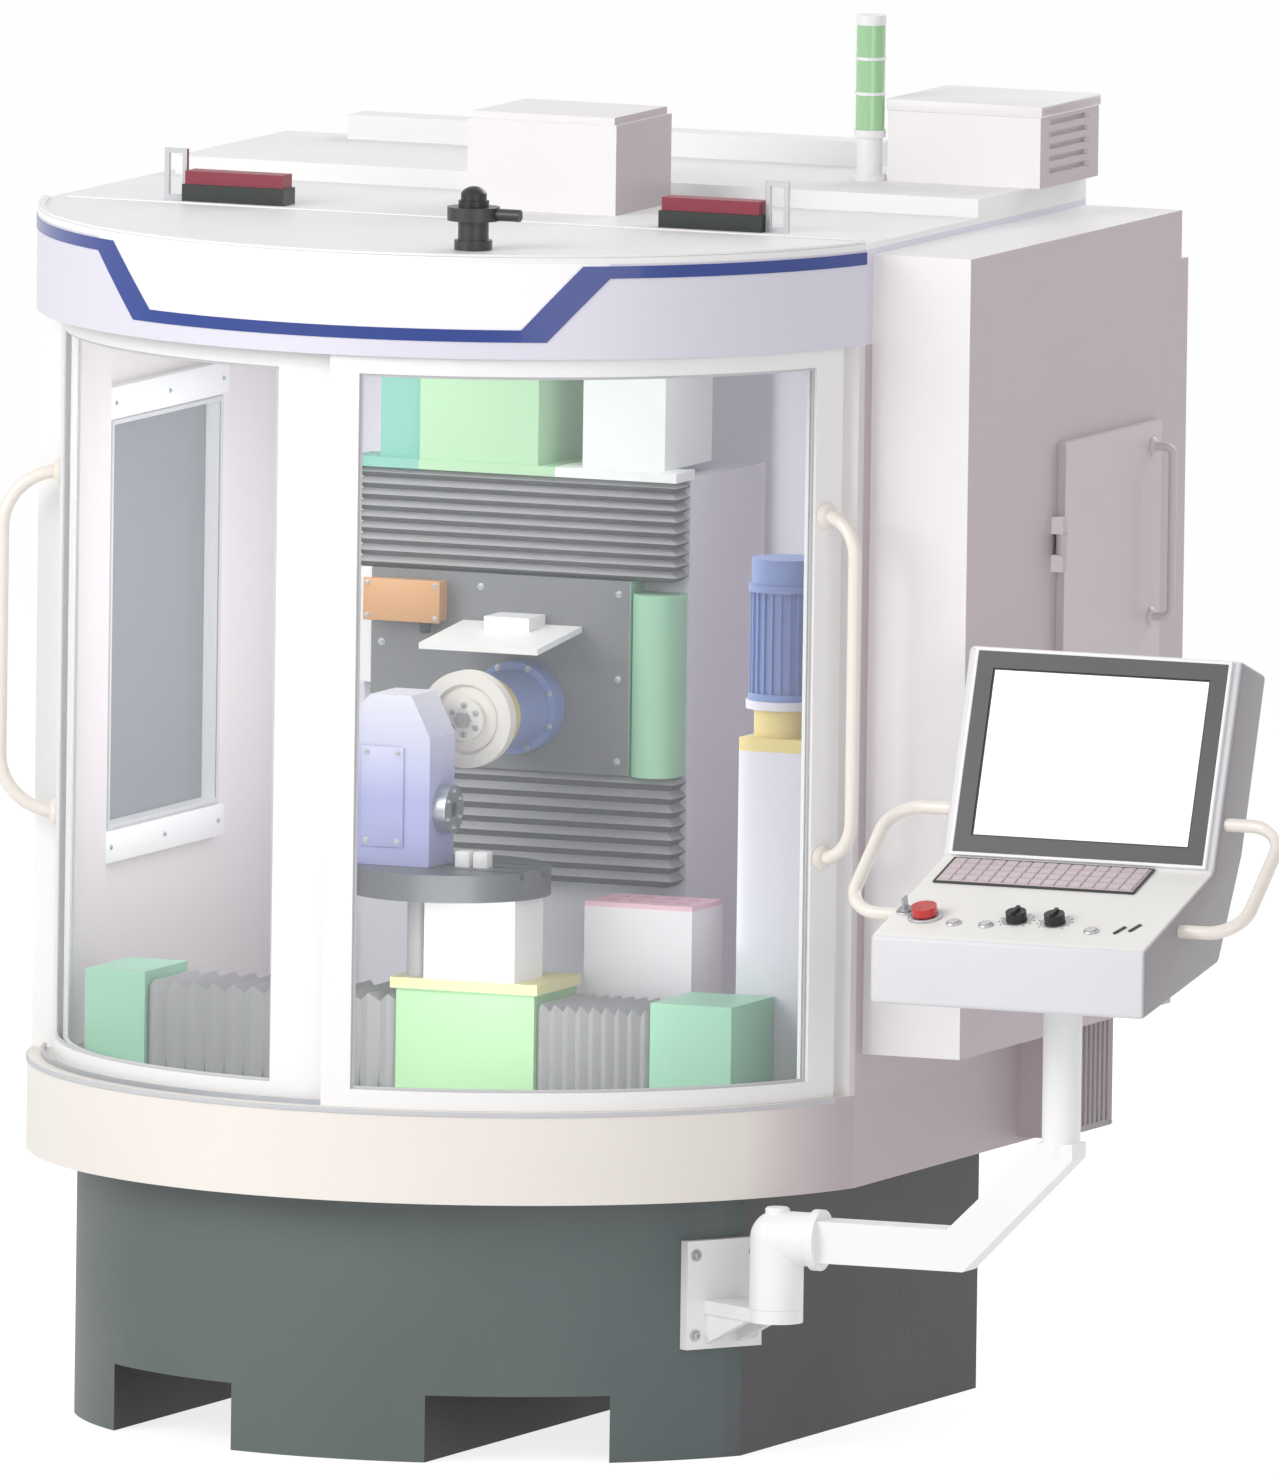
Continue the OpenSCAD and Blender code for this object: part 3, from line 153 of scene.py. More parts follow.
# Float glass or cast sheet: see-through, a faint haze left by wiping, clean gloss
def paneFinish(name, tone, share, rough, ior=1.5, hazeMm=260, hazeRough=0.06):
    material, tree = newMaterial(name)
    place = addNode(tree, "ShaderNodeTexCoord").outputs["Object"]
    haze = addNode(tree, "ShaderNodeTexNoise", {"Scale": perMetre(hazeMm), "Detail": 2.0}, {"Vector": place})
    gloss = addNode(tree, "ShaderNodeMapRange", {"To Min": rough, "To Max": rough + hazeRough},
                    {"Value": haze.outputs["Fac"]})
    settings = {"Base Color": linear(tone), "Alpha": share, "IOR": ior}
    shader = addNode(tree, "ShaderNodeBsdfPrincipled", settings, {"Roughness": gloss.outputs[0]})
    addNode(tree, "ShaderNodeOutputMaterial", None, {"Surface": shader.outputs[0]})
    return material


# Header: lavender enamel with a white tray-shaped field across the front, wider at its top than at its foot
def fasciaFinish(name, tone, field, shape, rough=0.38, skinMm=6, skinDepth=0.0003, strength=0.3):
    lowX, topX, lowZ, topZ = shape
    material, tree = newMaterial(name)
    place = addNode(tree, "ShaderNodeTexCoord").outputs["Object"]
    axes = addNode(tree, "ShaderNodeSeparateXYZ", None, {"Vector": place}).outputs
    side = addNode(tree, "ShaderNodeMath", {"operation": "ABSOLUTE"}, {0: axes["X"]}).outputs[0]
    slant = {"From Min": lowZ, "From Max": topZ, "To Min": lowX, "To Max": topX, "clamp": True}
    edge = addNode(tree, "ShaderNodeMapRange", slant, {"Value": axes["Z"]}).outputs[0]
    inside = addNode(tree, "ShaderNodeMath", {"operation": "LESS_THAN"}, {0: side, 1: edge}).outputs[0]
    above = addNode(tree, "ShaderNodeMath", {"operation": "GREATER_THAN", 1: lowZ}, {0: axes["Z"]}).outputs[0]
    front = addNode(tree, "ShaderNodeMath", {"operation": "LESS_THAN", 1: 0.0}, {0: axes["Y"]}).outputs[0]
    mask = addNode(tree, "ShaderNodeMath", {"operation": "MULTIPLY"}, {0: inside, 1: front}).outputs[0]
    mask = addNode(tree, "ShaderNodeMath", {"operation": "MULTIPLY"}, {0: mask, 1: above}).outputs[0]
    colour = addNode(tree, "ShaderNodeMix", {"data_type": "RGBA", 6: linear(tone), 7: linear(field)},
                     {"Factor": mask}).outputs[2]
    skin = addNode(tree, "ShaderNodeTexNoise", {"Scale": perMetre(skinMm), "Detail": 2.0}, {"Vector": place})
    bump = addNode(tree, "ShaderNodeBump", {"Strength": strength, "Distance": skinDepth},
                   {"Height": skin.outputs["Fac"]})
    shader = addNode(tree, "ShaderNodeBsdfPrincipled", {"Roughness": rough},
                     {"Base Color": colour, "Normal": bump.outputs[0]})
    addNode(tree, "ShaderNodeOutputMaterial", None, {"Surface": shader.outputs[0]})
    return material


# Steps and edges of the solids, in metres, where one solid changes colour
paintEdges = {
    "roofSheet": 0.010,  # top of the roof's front half above its underside
    "field": (0.36, 0.45, 1.842, 0.014),  # half width at foot and top, level of the foot, top below the roof
    "pipe": 0.0395,  # right side of the grey strip, from the pedestal's left end
    "switchCover": 0.0285,  # foot of the red covers above the roof
    "switchLoop": 0.5125,  # upright loops beside the switches, left and right
    "saddlePlate": 0.731,
    "driveSides": (-0.1723, 0.07),  # left and right housings on the column
    # level where the workhead's painted light, white at the top, begins
    "workhead": 1.13,
    "pumpCollar": (1.13, 1.1975),
    "terminalBox": 0.0995,  # all of the head in front of its plate
    "headSides": (-0.2545, 0.2045),  # white edge on the left, round cover on the right
    "spindleNose": (-0.058, 0.2),  # in front of the one and left of the other, which leaves out the pump
    "arbor": -0.1465,
    "rackTop": 0.857,
}
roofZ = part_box("roof_panel")[0].z + paintEdges["roofSheet"]
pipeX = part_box("table_pedestal")[0].x + paintEdges["pipe"]
lowX, topX, lowZ, fieldDrop = paintEdges["field"]
crisp = 0.0002  # half the width of a sharp change of colour
# painted light: the height over which the workhead's painted white top fades into lavender
paintedLightFade = 0.09  # half the height of the workhead's fade from lavender to white
# Painted shade and light: a pinkish grey put on faces by the way they face, darker than the white sheets that
# face right, paler than the grey vent's front faces
paintedFaceShading = "#bdb1b7"  # sheets that face right
whites = ("#f4f4f3", "#ebebec", 0.42)
offWhites = ("#f1efef", "#e8e5e6", 0.42)
lavenders = ("#e3e2ea", "#d6d5e0", 0.42)


def over(axis, limit, soft=crisp):
    return axis, limit, True, soft


def under(axis, limit, soft=crisp):
    return axis, limit, False, soft


# Two tones and a roughness for each finish, then what else it has
skins = {
    # powder coat is baked sheet paint: a faint orange peel, drawn coarser here so that it shows
    "powderCoatWhite": (*whites, {}),
    # the faces turned right painted pinkish grey: painted shade
    "powderCoatSkirt": ("#efeae4", "#e5dfd9", 0.45, {"zones": [("#bcb0b6", [over("nX", 0.9, 0.06)])]}),
    # the faces turned right are painted pinkish grey: painted shade
    "powderCoatSide": (*offWhites, {"zones": [(paintedFaceShading, [over("nX", 0.97, 0.02)])]}),
    # the faces turned right, into the enclosure, painted warm grey: painted shade
    "powderCoatLeft": (*whites, {"zones": [("#dfd8d9", [over("nX", 0.5, 0.02)])]}),
    # the faces turned right painted pinkish grey and the faces turned left, inside, painted greyer: painted
    # shade
    "powderCoatRight": (*offWhites, {"zones": [(paintedFaceShading, [over("nX", 0.97, 0.02)]),
                                               ("#cbc0c6", [under("nX", -0.5, 0.02)])]}),
    # the cabinet door faces right and is painted pinkish grey all over: painted shade
    "powderCoatDoor": ("#cfc5c9", "#c4babe", 0.4, {}),
    "powderCoatInner": ("#f1eff6", "#e7e5f0", 0.45, {"zones": [("#f1f0ef", [over("nY", 0.5, 0.02)])]}),
    # painted casting: a coarser sand skin under satin enamel; the faces turned right painted near black, as
    # painted shade
    "enamelledIron": ("#616b6a", "#545d5e", 0.5, {"skinMm": 14, "skinDepth": 0.0012, "patchMm": 350,
                                                  "zones": [("#29272d", [over("nX", 0.9, 0.05)])]}),
    # cut vinyl film: flat and glossy, with no peel
    "vinylBlue": ("#1b3d92", "#14307a", 0.28, {"skinMm": 40, "skinDepth": 0.0001, "coat": 0.3}),
    # plastic coated steel tube: smooth cream with a soft shine
    "creamTube": ("#f1ebe4", "#e6dfd6", 0.34, {"skinMm": 9, "coat": 0.2}),
    # ground steel: bright, with fine scratches drawn out one way
    "groundSteel": ("#b9bdc2", "#a7abb1", 0.3, {"skinMm": 3, "stretch": (1, 1, 12), "metallic": 0.9}),
    # moulded ABS: even, faintly grained, half dull
    # the faces turned to the front painted pinkish grey, paler than the grey body: painted light
    "ventPlastic": ("#a29c9f", "#928c90", 0.55, {"zones": [(paintedFaceShading, [under("nY", -0.5, 0.02)])]}),
    "drivePlastic": ("#b8bcc0", "#a8acb1", 0.5, {}),
    "bezelPlastic": ("#3f4042", "#353638", 0.4, {}),
    "keyPlastic": ("#dccfd3", "#cdbfc4", 0.5, {}),
    "buttonPlastic": ("#dad6d8", "#cbc7c9", 0.4, {}),
    "blackPlastic": ("#202224", "#17181a", 0.38, {}),
    # polycarbonate lens: smooth, clear gloss over green
    "lensPlastic": ("#a9d6a6", "#93c592", 0.18, {"skinMm": 20, "coat": 0.5}),
    # filled nylon: near black and dull; the switches have red covers and bare steel loops
    "regulatorPlastic": ("#3d4042", "#2b2d2f", 0.35, {}),
    "switchPlastic": ("#232b2a", "#191f1f", 0.45, {"zones": [
        ("#86283b", [over("Z", roofZ + paintEdges["switchCover"])]),
        ("#c9ccd0", [over("X", paintEdges["switchLoop"])]),
        ("#c9ccd0", [under("X", -paintEdges["switchLoop"])])]}),
    # sprayed machine enamel: satin, each unit in its own pale colour
    "bedEnamel": ("#a5d9bd", "#93cbae", 0.42, {}),
    "saddleEnamel": ("#b4dfae", "#a4d29f", 0.42, {"zones": [
        ("#e4dfa4", [over("Z", paintEdges["saddlePlate"])])]}),
    "driveEnamel": ("#b9e0b8", "#aad4a9", 0.42, {"zones": [
        ("#84c6b5", [under("X", paintEdges["driveSides"][0])]),
        ("#eef3f0", [over("X", paintEdges["driveSides"][1])])]}),
    # the upper part painted white, fading into the lavender below: painted light on the top of a rounded face
    "workheadEnamel": ("#a9abd8", "#989ccd", 0.4, {"zones": [
        ("#e6e6f1", [over("Z", paintEdges["workhead"], paintedLightFade)])]}),
    # a grey strip painted down the pedestal's left end
    "pedestalEnamel": (*whites, {"zones": [("#9b999b", [under("X", pipeX)])]}),
    "columnEnamel": (*lavenders, {}),
    "pumpEnamel": (*lavenders, {"zones": [("#e2cf8c", [over("Z", paintEdges["pumpCollar"][0]),
                                                       under("Z", paintEdges["pumpCollar"][1])])]}),
    "headEnamel": ("#7d7e81", "#6f7073", 0.42, {"zones": [
        ("#cf9a63", [under("Y", paintEdges["terminalBox"])]),
        ("#9ed1ad", [over("X", paintEdges["headSides"][1])]),
        ("#efefef", [under("X", paintEdges["headSides"][0])])]}),
    "motorEnamel": ("#8a9ccc", "#7487bd", 0.38, {"zones": [
        ("#dccb8a", [under("Y", paintEdges["spindleNose"][0], 0.0005),
                     under("X", paintEdges["spindleNose"][1], 0.0005)])]}),
    "rackEnamel": ("#f0ecf0", "#e6e0e6", 0.42, {"zones": [
        ("#e7bccb", [over("Z", paintEdges["rackTop"])])]}),
    # coated cloth: dull, with the undersides of the folds painted darker as painted shade
    "coverCloth": ("#a9a9aa", "#949496", 0.72, {"skinMm": 5, "skinDepth": 0.0008,
                                                "zones": [("#58585b", [under("nZ", -0.25, 0.05)])]}),
    # turned cast iron: dark grey with a dull gleam
    "turnedIron": ("#6a6b6e", "#57585b", 0.4, {"skinMm": 4, "metallic": 0.5}),
    # fired abrasive: dry, off-white and gritty, on a grey steel arbor
    "wheelGrit": ("#ece9e2", "#dcd8cf", 0.8, {"skinMm": 5, "skinDepth": 0.002,
                                              "zones": [("#9c9a9c", [under("Y", paintEdges["arbor"])])]}),
    # powder coat on folded sheet: the faces turned up painted paler, as painted light, and the side sheets
    # that face right painted darker, as painted shade
    "consoleCoat": ("#dedee2", "#d3d3d8", 0.4, {"zones": [("#f0efec", [over("nZ", 0.7, 0.1)]),
                                                          ("#989497", [over("nX", 0.6, 0.3)])]}),
    # cover glass of the blank screen: flat, hard gloss over white
    "screenGlass": ("#f8fafa", "#f3f6f6", 0.12, {"skinMm": 60, "skinDepth": 0.00005, "coat": 0.6}),
    # polished red thermoplastic: the glossiest part of the deck
    "stopRed": ("#cf2a2a", "#b81f21", 0.25, {"coat": 0.4}),
    # extruded rubber: dull grey, faintly grained
    "sealRubber": ("#cdced1", "#c0c1c5", 0.75, {"skinMm": 4, "skinDepth": 0.0006}),
    # zinc plated screws: bright, slightly uneven
    "platedSteel": ("#c6c8ca", "#b2b4b7", 0.32, {"skinMm": 2, "metallic": 0.9}),
    # pressed card under the wheel's flange: dry, fibrous
    "blotterCard": ("#efece6", "#e2ded6", 0.85, {"skinMm": 2, "skinDepth": 0.0006}),
}
finishes = {}
for name, (tone, shade, rough, extra) in skins.items():
    finishes[name] = skinFinish(name, tone, shade, rough, **extra)
fieldShape = (lowX, topX, lowZ, roofZ - fieldDrop)
finishes["fasciaEnamel"] = fasciaFinish("fasciaEnamel", "#d9d8e4", "#f7f7f8", fieldShape)
finishes["floatGlass"] = paneFinish("floatGlass", "#e6edf2", 0.07, 0.02)
finishes["smokedAcrylic"] = paneFinish("smokedAcrylic", "#83878d", 0.86, 0.18)
print("materials made:", len(finishes))

solidFinish = {
    "enamelledIron": ["bed_casting"],
    "powderCoatSkirt": ["drip_tray"],
    "groundSteel": ["door_rails", "work_spindle", "key_switch"],
    "powderCoatLeft": ["left_wall"],
    "powderCoatRight": ["right_wall"],
    "pedestalEnamel": ["table_pedestal"],
    "powderCoatWhite": ["roof_panel", "left_door_frame", "right_door_frame", "signal_post", "wheel_guard",
                        "arm_bracket", "swing_arm"],
    "powderCoatSide": ["cabinet_body", "mist_collector", "motor_cover"],
    "powderCoatDoor": ["cabinet_door"],
    "powderCoatInner": ["back_wall"],
    "fasciaEnamel": ["header_band"],
    "vinylBlue": ["blue_stripe"],
    "floatGlass": ["left_door_glass", "right_door_glass"],
    "smokedAcrylic": ["left_window"],
    "creamTube": ["left_door_handle", "right_door_handle", "pendant_handles"],
    "drivePlastic": ["drive_rack"],
    "ventPlastic": ["side_vent"],
    "lensPlastic": ["signal_lens"],
    "switchPlastic": ["interlock_switches"],
    "regulatorPlastic": ["regulator_body"],
    "blackPlastic": ["regulator_knob", "feed_knob", "speed_knob"],
    "bedEnamel": ["x_bed"],
    "saddleEnamel": ["x_saddle"],
    "driveEnamel": ["z_drive"],
    "turnedIron": ["rotary_table"],
    "workheadEnamel": ["workhead"],
    "columnEnamel": ["z_column"],
    "pumpEnamel": ["pump_column"],
    "headEnamel": ["head_plate"],
    "motorEnamel": ["spindle_housing", "pump_motor"],
    "wheelGrit": ["grinding_wheel"],
    "rackEnamel": ["tool_rack"],
    "bezelPlastic": ["screen_bezel"],
    "screenGlass": ["screen_panel"],
    "keyPlastic": ["keyboard"],
    "stopRed": ["estop_button"],
    "buttonPlastic": ["start_button", "stop_button", "reset_button"],
}
for finish, names in solidFinish.items():
    for name in names:
        slots = solids[name].data.materials
        slots.clear()
        slots.append(finishes[finish])
print("solids painted")


# Modelling helpers
edgeAngles = {"bevel": 35, "bar": 40, "turned": 35}


def activate(piece):
    bpy.ops.object.select_all(action="DESELECT")
    piece.select_set(True)
    bpy.context.view_layer.objects.active = piece


def applyPlace():
    bpy.ops.object.transform_apply(location=True, rotation=True, scale=True)


def started(name, scale=(1, 1, 1)):
    piece = bpy.context.object
    piece.name = name
    piece.scale = scale
    applyPlace()
    return piece


def settle(piece, matrix):
    activate(piece)
    piece.matrix_world = matrix
    applyPlace()


def editAll():
    bpy.ops.object.mode_set(mode="EDIT")
    bpy.ops.mesh.select_all(action="SELECT")


def editDone():
    bpy.ops.object.mode_set(mode="OBJECT")


def outward(piece):
    activate(piece)
    editAll()
    bpy.ops.mesh.normals_make_consistent(inside=False)
    editDone()


def smooth(kind):
    bpy.ops.object.shade_smooth_by_angle(angle=math.radians(edgeAngles[kind]))


def roundEdges(piece, width, segments=2):
    activate(piece)
    edge = piece.modifiers.new("edge", "BEVEL")
    edge.width = width
    edge.segments = segments
    edge.limit_method = "ANGLE"
    edge.angle_limit = math.radians(edgeAngles["bevel"])
    bpy.ops.object.modifier_apply(modifier=edge.name)
    smooth("bar")


def facing(point, axis):
    return Matrix.Translation(point) @ Vector(axis).to_track_quat("Z", "Y").to_matrix().to_4x4()


def turned(degrees, axis):
    return Matrix.Rotation(math.radians(degrees), 4, axis)


def radial(azimuth):
    turn = math.radians(azimuth)
    return Vector((math.sin(turn), -math.cos(turn), 0))


def startPlane(name, width, height):
    bpy.ops.object.select_all(action="DESELECT")
    bpy.ops.mesh.primitive_plane_add(size=1, location=(0, 0, 0))
    return started(name, (width, height, 1))


def startCircle(name, sides, radius, level, fill):
    bpy.ops.object.select_all(action="DESELECT")
    bpy.ops.mesh.primitive_circle_add(vertices=sides, radius=radius, fill_type=fill, location=(0, 0, level))
    return started(name)


# Pulls what is selected up through pairs of radius and level
def drawUp(steps):
    for (radius, level), (nextRadius, nextLevel) in zip(steps, steps[1:]):
        bpy.ops.mesh.extrude_region_move(TRANSFORM_OT_translate={"value": (0, 0, nextLevel - level)})
        share = nextRadius / radius
        bpy.ops.transform.resize(value=(share, share, 1), center_override=(0, 0, nextLevel))


# Rounded bar in its own frame, from its low corner to its high corner
def barPiece(name, low, high, rounding, matrix=Matrix.Identity(4)):
    bpy.ops.object.select_all(action="DESELECT")
    low, high = Vector(low), Vector(high)
    bpy.ops.mesh.primitive_cube_add(size=1, location=(low + high) / 2)
    piece = started(name, high - low)
    roundEdges(piece, rounding)
    settle(piece, matrix)
    return piece


# Turned piece, drawn up step by step along its own axis
def turnedPiece(name, steps, matrix, sides=32):
    piece = startCircle(name, sides, *steps[0], "NGON")
    editAll()
    drawUp(steps)
    editDone()
    outward(piece)
    smooth("turned")
    settle(piece, matrix)
    return piece


# Ring whose section is a closed loop of radius and level
def ringPiece(name, loop, matrix, sides=48, merge=0.00001):
    piece = startCircle(name, sides, *loop[0], "NOTHING")
    editAll()
    drawUp(loop + loop[:1])
    bpy.ops.mesh.select_all(action="SELECT")
    bpy.ops.mesh.remove_doubles(threshold=merge)
    editDone()
    outward(piece)
    smooth("turned")
    settle(piece, matrix)
    return piece


# Flat rectangular frame in its own plane, raised along its normal
def framePiece(name, width, height, border, thick, rounding, matrix):
    piece = startPlane(name, width, height)
    editAll()
    bpy.ops.mesh.inset(thickness=border)
    bpy.ops.mesh.delete(type="FACE")
    bpy.ops.mesh.select_all(action="SELECT")
    bpy.ops.mesh.extrude_region_move(TRANSFORM_OT_translate={"value": (0, 0, thick)})
    editDone()
    outward(piece)
    roundEdges(piece, rounding)
    settle(piece, matrix)
    return piece


# Strip of rectangular section swept about the front's axis between two azimuths, a step for each 2 degrees
def arcStrip(name, inner, outer, low, high, first, last, rounding):
    piece = startPlane(name, outer - inner, high - low)
    upright = Matrix.Translation(((inner + outer) / 2, 0, (low + high) / 2)) @ turned(90, "X")
    settle(piece, turned(last - 90, "Z") @ upright)
    editAll()
    bpy.ops.mesh.spin(steps=max(2, round((last - first) / 2)), angle=math.radians(last - first),
                      center=(0, 0, 0), axis=(0, 0, 1))
    editDone()
    outward(piece)
    roundEdges(piece, rounding)
    return piece


def copyAt(piece, matrix):
    activate(piece)
    bpy.ops.object.duplicate(linked=False)
    twin = bpy.context.object
    settle(twin, matrix)
    return twin


def joinPieces(name, parts):
    activate(parts[0])
    for part in parts[1:]:
        part.select_set(True)
    bpy.ops.object.join()
    parts[0].name = name
    return parts[0]


# Places round a ring in the plane of two directions, starting a share of a step past the first direction
def ringPlaces(centre, first, second, radius, count, share=0.5):
    spots = []
    for i in range(count):
        turn = 2 * math.pi * (i + share) / count
        spots.append(centre + first * (radius * math.cos(turn)) + second * (radius * math.sin(turn)))
    return spots


# One piece and its copies, each moved by a step from it, as one piece
def repeated(piece, steps):
    return joinPieces(piece.name, [piece] + [copyAt(piece, Matrix.Translation(step)) for step in steps])


def paint(piece, finish):
    piece.data.materials.clear()
    piece.data.materials.append(finishes[finish])


def finishPiece(piece, finish, body):
    paint(piece, finish)
    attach(piece, body)


# Socket cap screw with its washer: radius and height in units of the head's radius
screwSteps = [(1.7, 0), (1.7, 0.3), (1.0, 0.35), (1.0, 1.1), (0.85, 1.25), (0.55, 1.25), (0.5, 0.7)]


# A set of screws that face one way, one modelled and the rest copied
def screwSet(name, places, axis, radius, body):
    places = [Vector(place) for place in places]
    steps = [(r * radius, h * radius) for r, h in screwSteps]
    first = turnedPiece(name, steps, facing(places[0], axis), sides=16)
    screws = repeated(first, [place - places[0] for place in places[1:]])
    finishPiece(screws, "platedSteel", body)


# Pleated covers of the two slides, folded step by step from an end face
covers = {
    "xCoverLeft": {"node": "x_bellows_left", "along": "x", "pleats": 13, "moving": "carriage",
                   "fixedLow": True},
    "xCoverRight": {"node": "x_bellows_right", "along": "x", "pleats": 9, "moving": "carriage",
                    "fixedLow": False},
    "zCoverUpper": {"node": "z_bellows_upper", "along": "z", "pleats": 9, "moving": "wheel_head",
                    "fixedLow": False},
    "zCoverLower": {"node": "z_bellows_lower", "along": "z", "pleats": 8, "moving": "wheel_head",
                    "fixedLow": True},
}
# depth of the folds at the sides and on the face, and how far their edges are rounded
coverFolds = {"x": (0.012, 0.014), "z": (0.014, 0.014), "rounding": 0.0016}


def pleatedCover(name, values):
    low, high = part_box(values["node"])
    middle, size = (low + high) / 2, high - low
    side, deep = coverFolds[values["along"]]
    if values["along"] == "x":
        start, end = Vector((low.x, middle.y, low.z)), Vector((high.x, middle.y, low.z))
        seat = Matrix.Translation((low.x, middle.y, middle.z)) @ turned(90, "Y")
        wide, tall = size.z, size.y
        shrink = Vector((1, 1 - 2 * side / size.y, 1 - deep / size.z))
    else:
        start, end = Vector((middle.x, high.y, low.z)), Vector((middle.x, high.y, high.z))
        seat = Matrix.Translation((middle.x, middle.y, low.z))
        wide, tall = size.x, size.y
        shrink = Vector((1 - 2 * side / size.x, 1 - deep / size.y, 1))
    grow = Vector(1 / share for share in shrink)
    piece = startPlane(name, wide, tall)
    settle(piece, seat)
    editAll()
    bpy.ops.transform.resize(value=shrink, center_override=start)
    count = 2 * values["pleats"]
    step = (end - start) / count
    for i in range(count):
        bpy.ops.mesh.extrude_region_move(TRANSFORM_OT_translate={"value": step})
        bpy.ops.transform.resize(value=grow if i % 2 == 0 else shrink, center_override=start + step * (i + 1))
    editDone()
    outward(piece)
    roundEdges(piece, coverFolds["rounding"])
    paint(piece, "coverCloth")
    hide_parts(values["node"])
    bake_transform(piece)


for name, values in covers.items():
    pleatedCover(name, values)
print("pleated covers folded:", len(covers))

# Rubber seals round the curved panes, and the rosettes where the bow handles meet the doors
# azimuths in degrees from the front, radii in metres
doors = {
    "left": {"body": "left_door", "span": (-68.0, -7.0), "face": 0.700, "handle": -70.0, "seat": 0.708},
    "right": {"body": "right_door", "span": (5.3, 68.0), "face": 0.729, "handle": 70.0, "seat": 0.737},
}
doorTrim = {"seal": 0.005, "proud": 0.0025, "rounding": 0.0008, "lip": 0.007, "tube": 0.011,
            "rosette": [(0.022, 0.0), (0.022, 0.003), (0.019, 0.007), (0.013, 0.011)]}


def dressDoor(side, values):
    low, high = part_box(side + "_door_glass")
    z0, z1 = low.z + doorTrim["lip"], high.z - doorTrim["lip"]
    r0, r1 = values["face"], values["face"] + doorTrim["proud"]
    a0, a1 = values["span"]
    tall, wide = doorTrim["seal"], math.degrees(doorTrim["seal"] / r0)
    runs = [(z0, z0 + tall, a0, a1), (z1 - tall, z1, a0, a1),
            (z0, z1, a0, a0 + wide), (z0, z1, a1 - wide, a1)]
    strips = [arcStrip(side + "DoorSeal", r0, r1, *run, doorTrim["rounding"]) for run in runs]
    finishPiece(joinPieces(side + "DoorSeal", strips), "sealRubber", values["body"])
    low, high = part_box(side + "_door_handle")
    out = radial(values["handle"])
    rings = []
    for z in (low.z + doorTrim["tube"], high.z - doorTrim["tube"]):
        spot = out * values["seat"] + Vector((0, 0, z))
        rings.append(turnedPiece(side + "HandleRosettes", doorTrim["rosette"], facing(spot, out)))
    finishPiece(joinPieces(side + "HandleRosettes", rings), "creamTube", values["body"])


for side, values in doors.items():
    dressDoor(side, values)
print("doors dressed:", len(doors))

# Gaskets round the left window, outside on the wall and inside on its frame, and the two rails that hold it
windowTrim = {"gasket": 0.008, "thick": 0.004, "rounding": 0.0015, "innerFace": -0.685,
              "rail": (0.010, 0.064), "railBack": 0.027, "railProud": 0.006, "railEnd": 0.028,
              "railRounding": 0.003, "screw": 0.0026}


def dressWindow(values):
    low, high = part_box("left_window")
    middle, size = (low + high) / 2, high - low
    wide, tall = size.y + 2 * values["gasket"], size.z + 2 * values["gasket"]
    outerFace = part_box("left_wall")[0].x
    for name, face, way in (("windowGasketOuter", outerFace, -1),
                            ("windowGasketInner", values["innerFace"], 1)):
        gasket = framePiece(name, wide, tall, values["gasket"], values["thick"], values["rounding"],
                            facing((face, middle.y, middle.z), (way, 0, 0)))
        finishPiece(gasket, "sealRubber", "machine")
    near, far = values["rail"]
    back, face = values["innerFace"] - values["railBack"], values["innerFace"] + values["railProud"]
    ends = low.y - values["railEnd"], high.y + values["railEnd"]
    rails = [barPiece("windowRails", (back, ends[0], z0), (face, ends[1], z1), values["railRounding"])
             for z0, z1 in ((low.z - far, low.z - near), (high.z + near, high.z + far))]
    finishPiece(joinPieces("windowRails", rails), "powderCoatWhite", "machine")
    levels = low.z - (near + far) / 2, high.z + (near + far) / 2
    places = [(face, y, z) for y in (low.y, middle.y, high.y) for z in levels]
    screwSet("windowScrews", places, (1, 0, 0), values["screw"], "machine")


dressWindow(windowTrim)
print("window dressed")

# Roof edge bead, roof seam, sill strip, the tower's rings and the mist collector's lid and latches
roofTrim = {
    "bead": (0.738, 0.750, 0.005, 76.0, 0.002),  # radii, height, reach each way in degrees, rounding
    "seam": (-0.142, 0.700, 0.016, 0.003, 0.001),  # place in Y, half length, width, height, rounding
    "sill": (0.744, 0.752, -0.0085, -0.0005, 72.0, 0.001),  # radii, levels from the wall, reach, rounding
    "towerRings": (0.333, 0.667),  # shares of the lens's height
    "ring": (0.0015, 0.005),  # how proud, how tall
    "lid": (0.003, 0.016, 0.004, 0.003),  # past the sides, down the sides, above the top, rounding
    "latches": (0.22, 0.78),  # shares of the box's width
    "latchLow": 0.020,
    "latchPlate": ((-0.012, 0.0, -0.030), (0.012, 0.004, 0.014), 0.0012),  # corners and rounding
    "latchHook": ((-0.008, 0.003, -0.014), (0.008, 0.010, 0.010), 0.002),
}


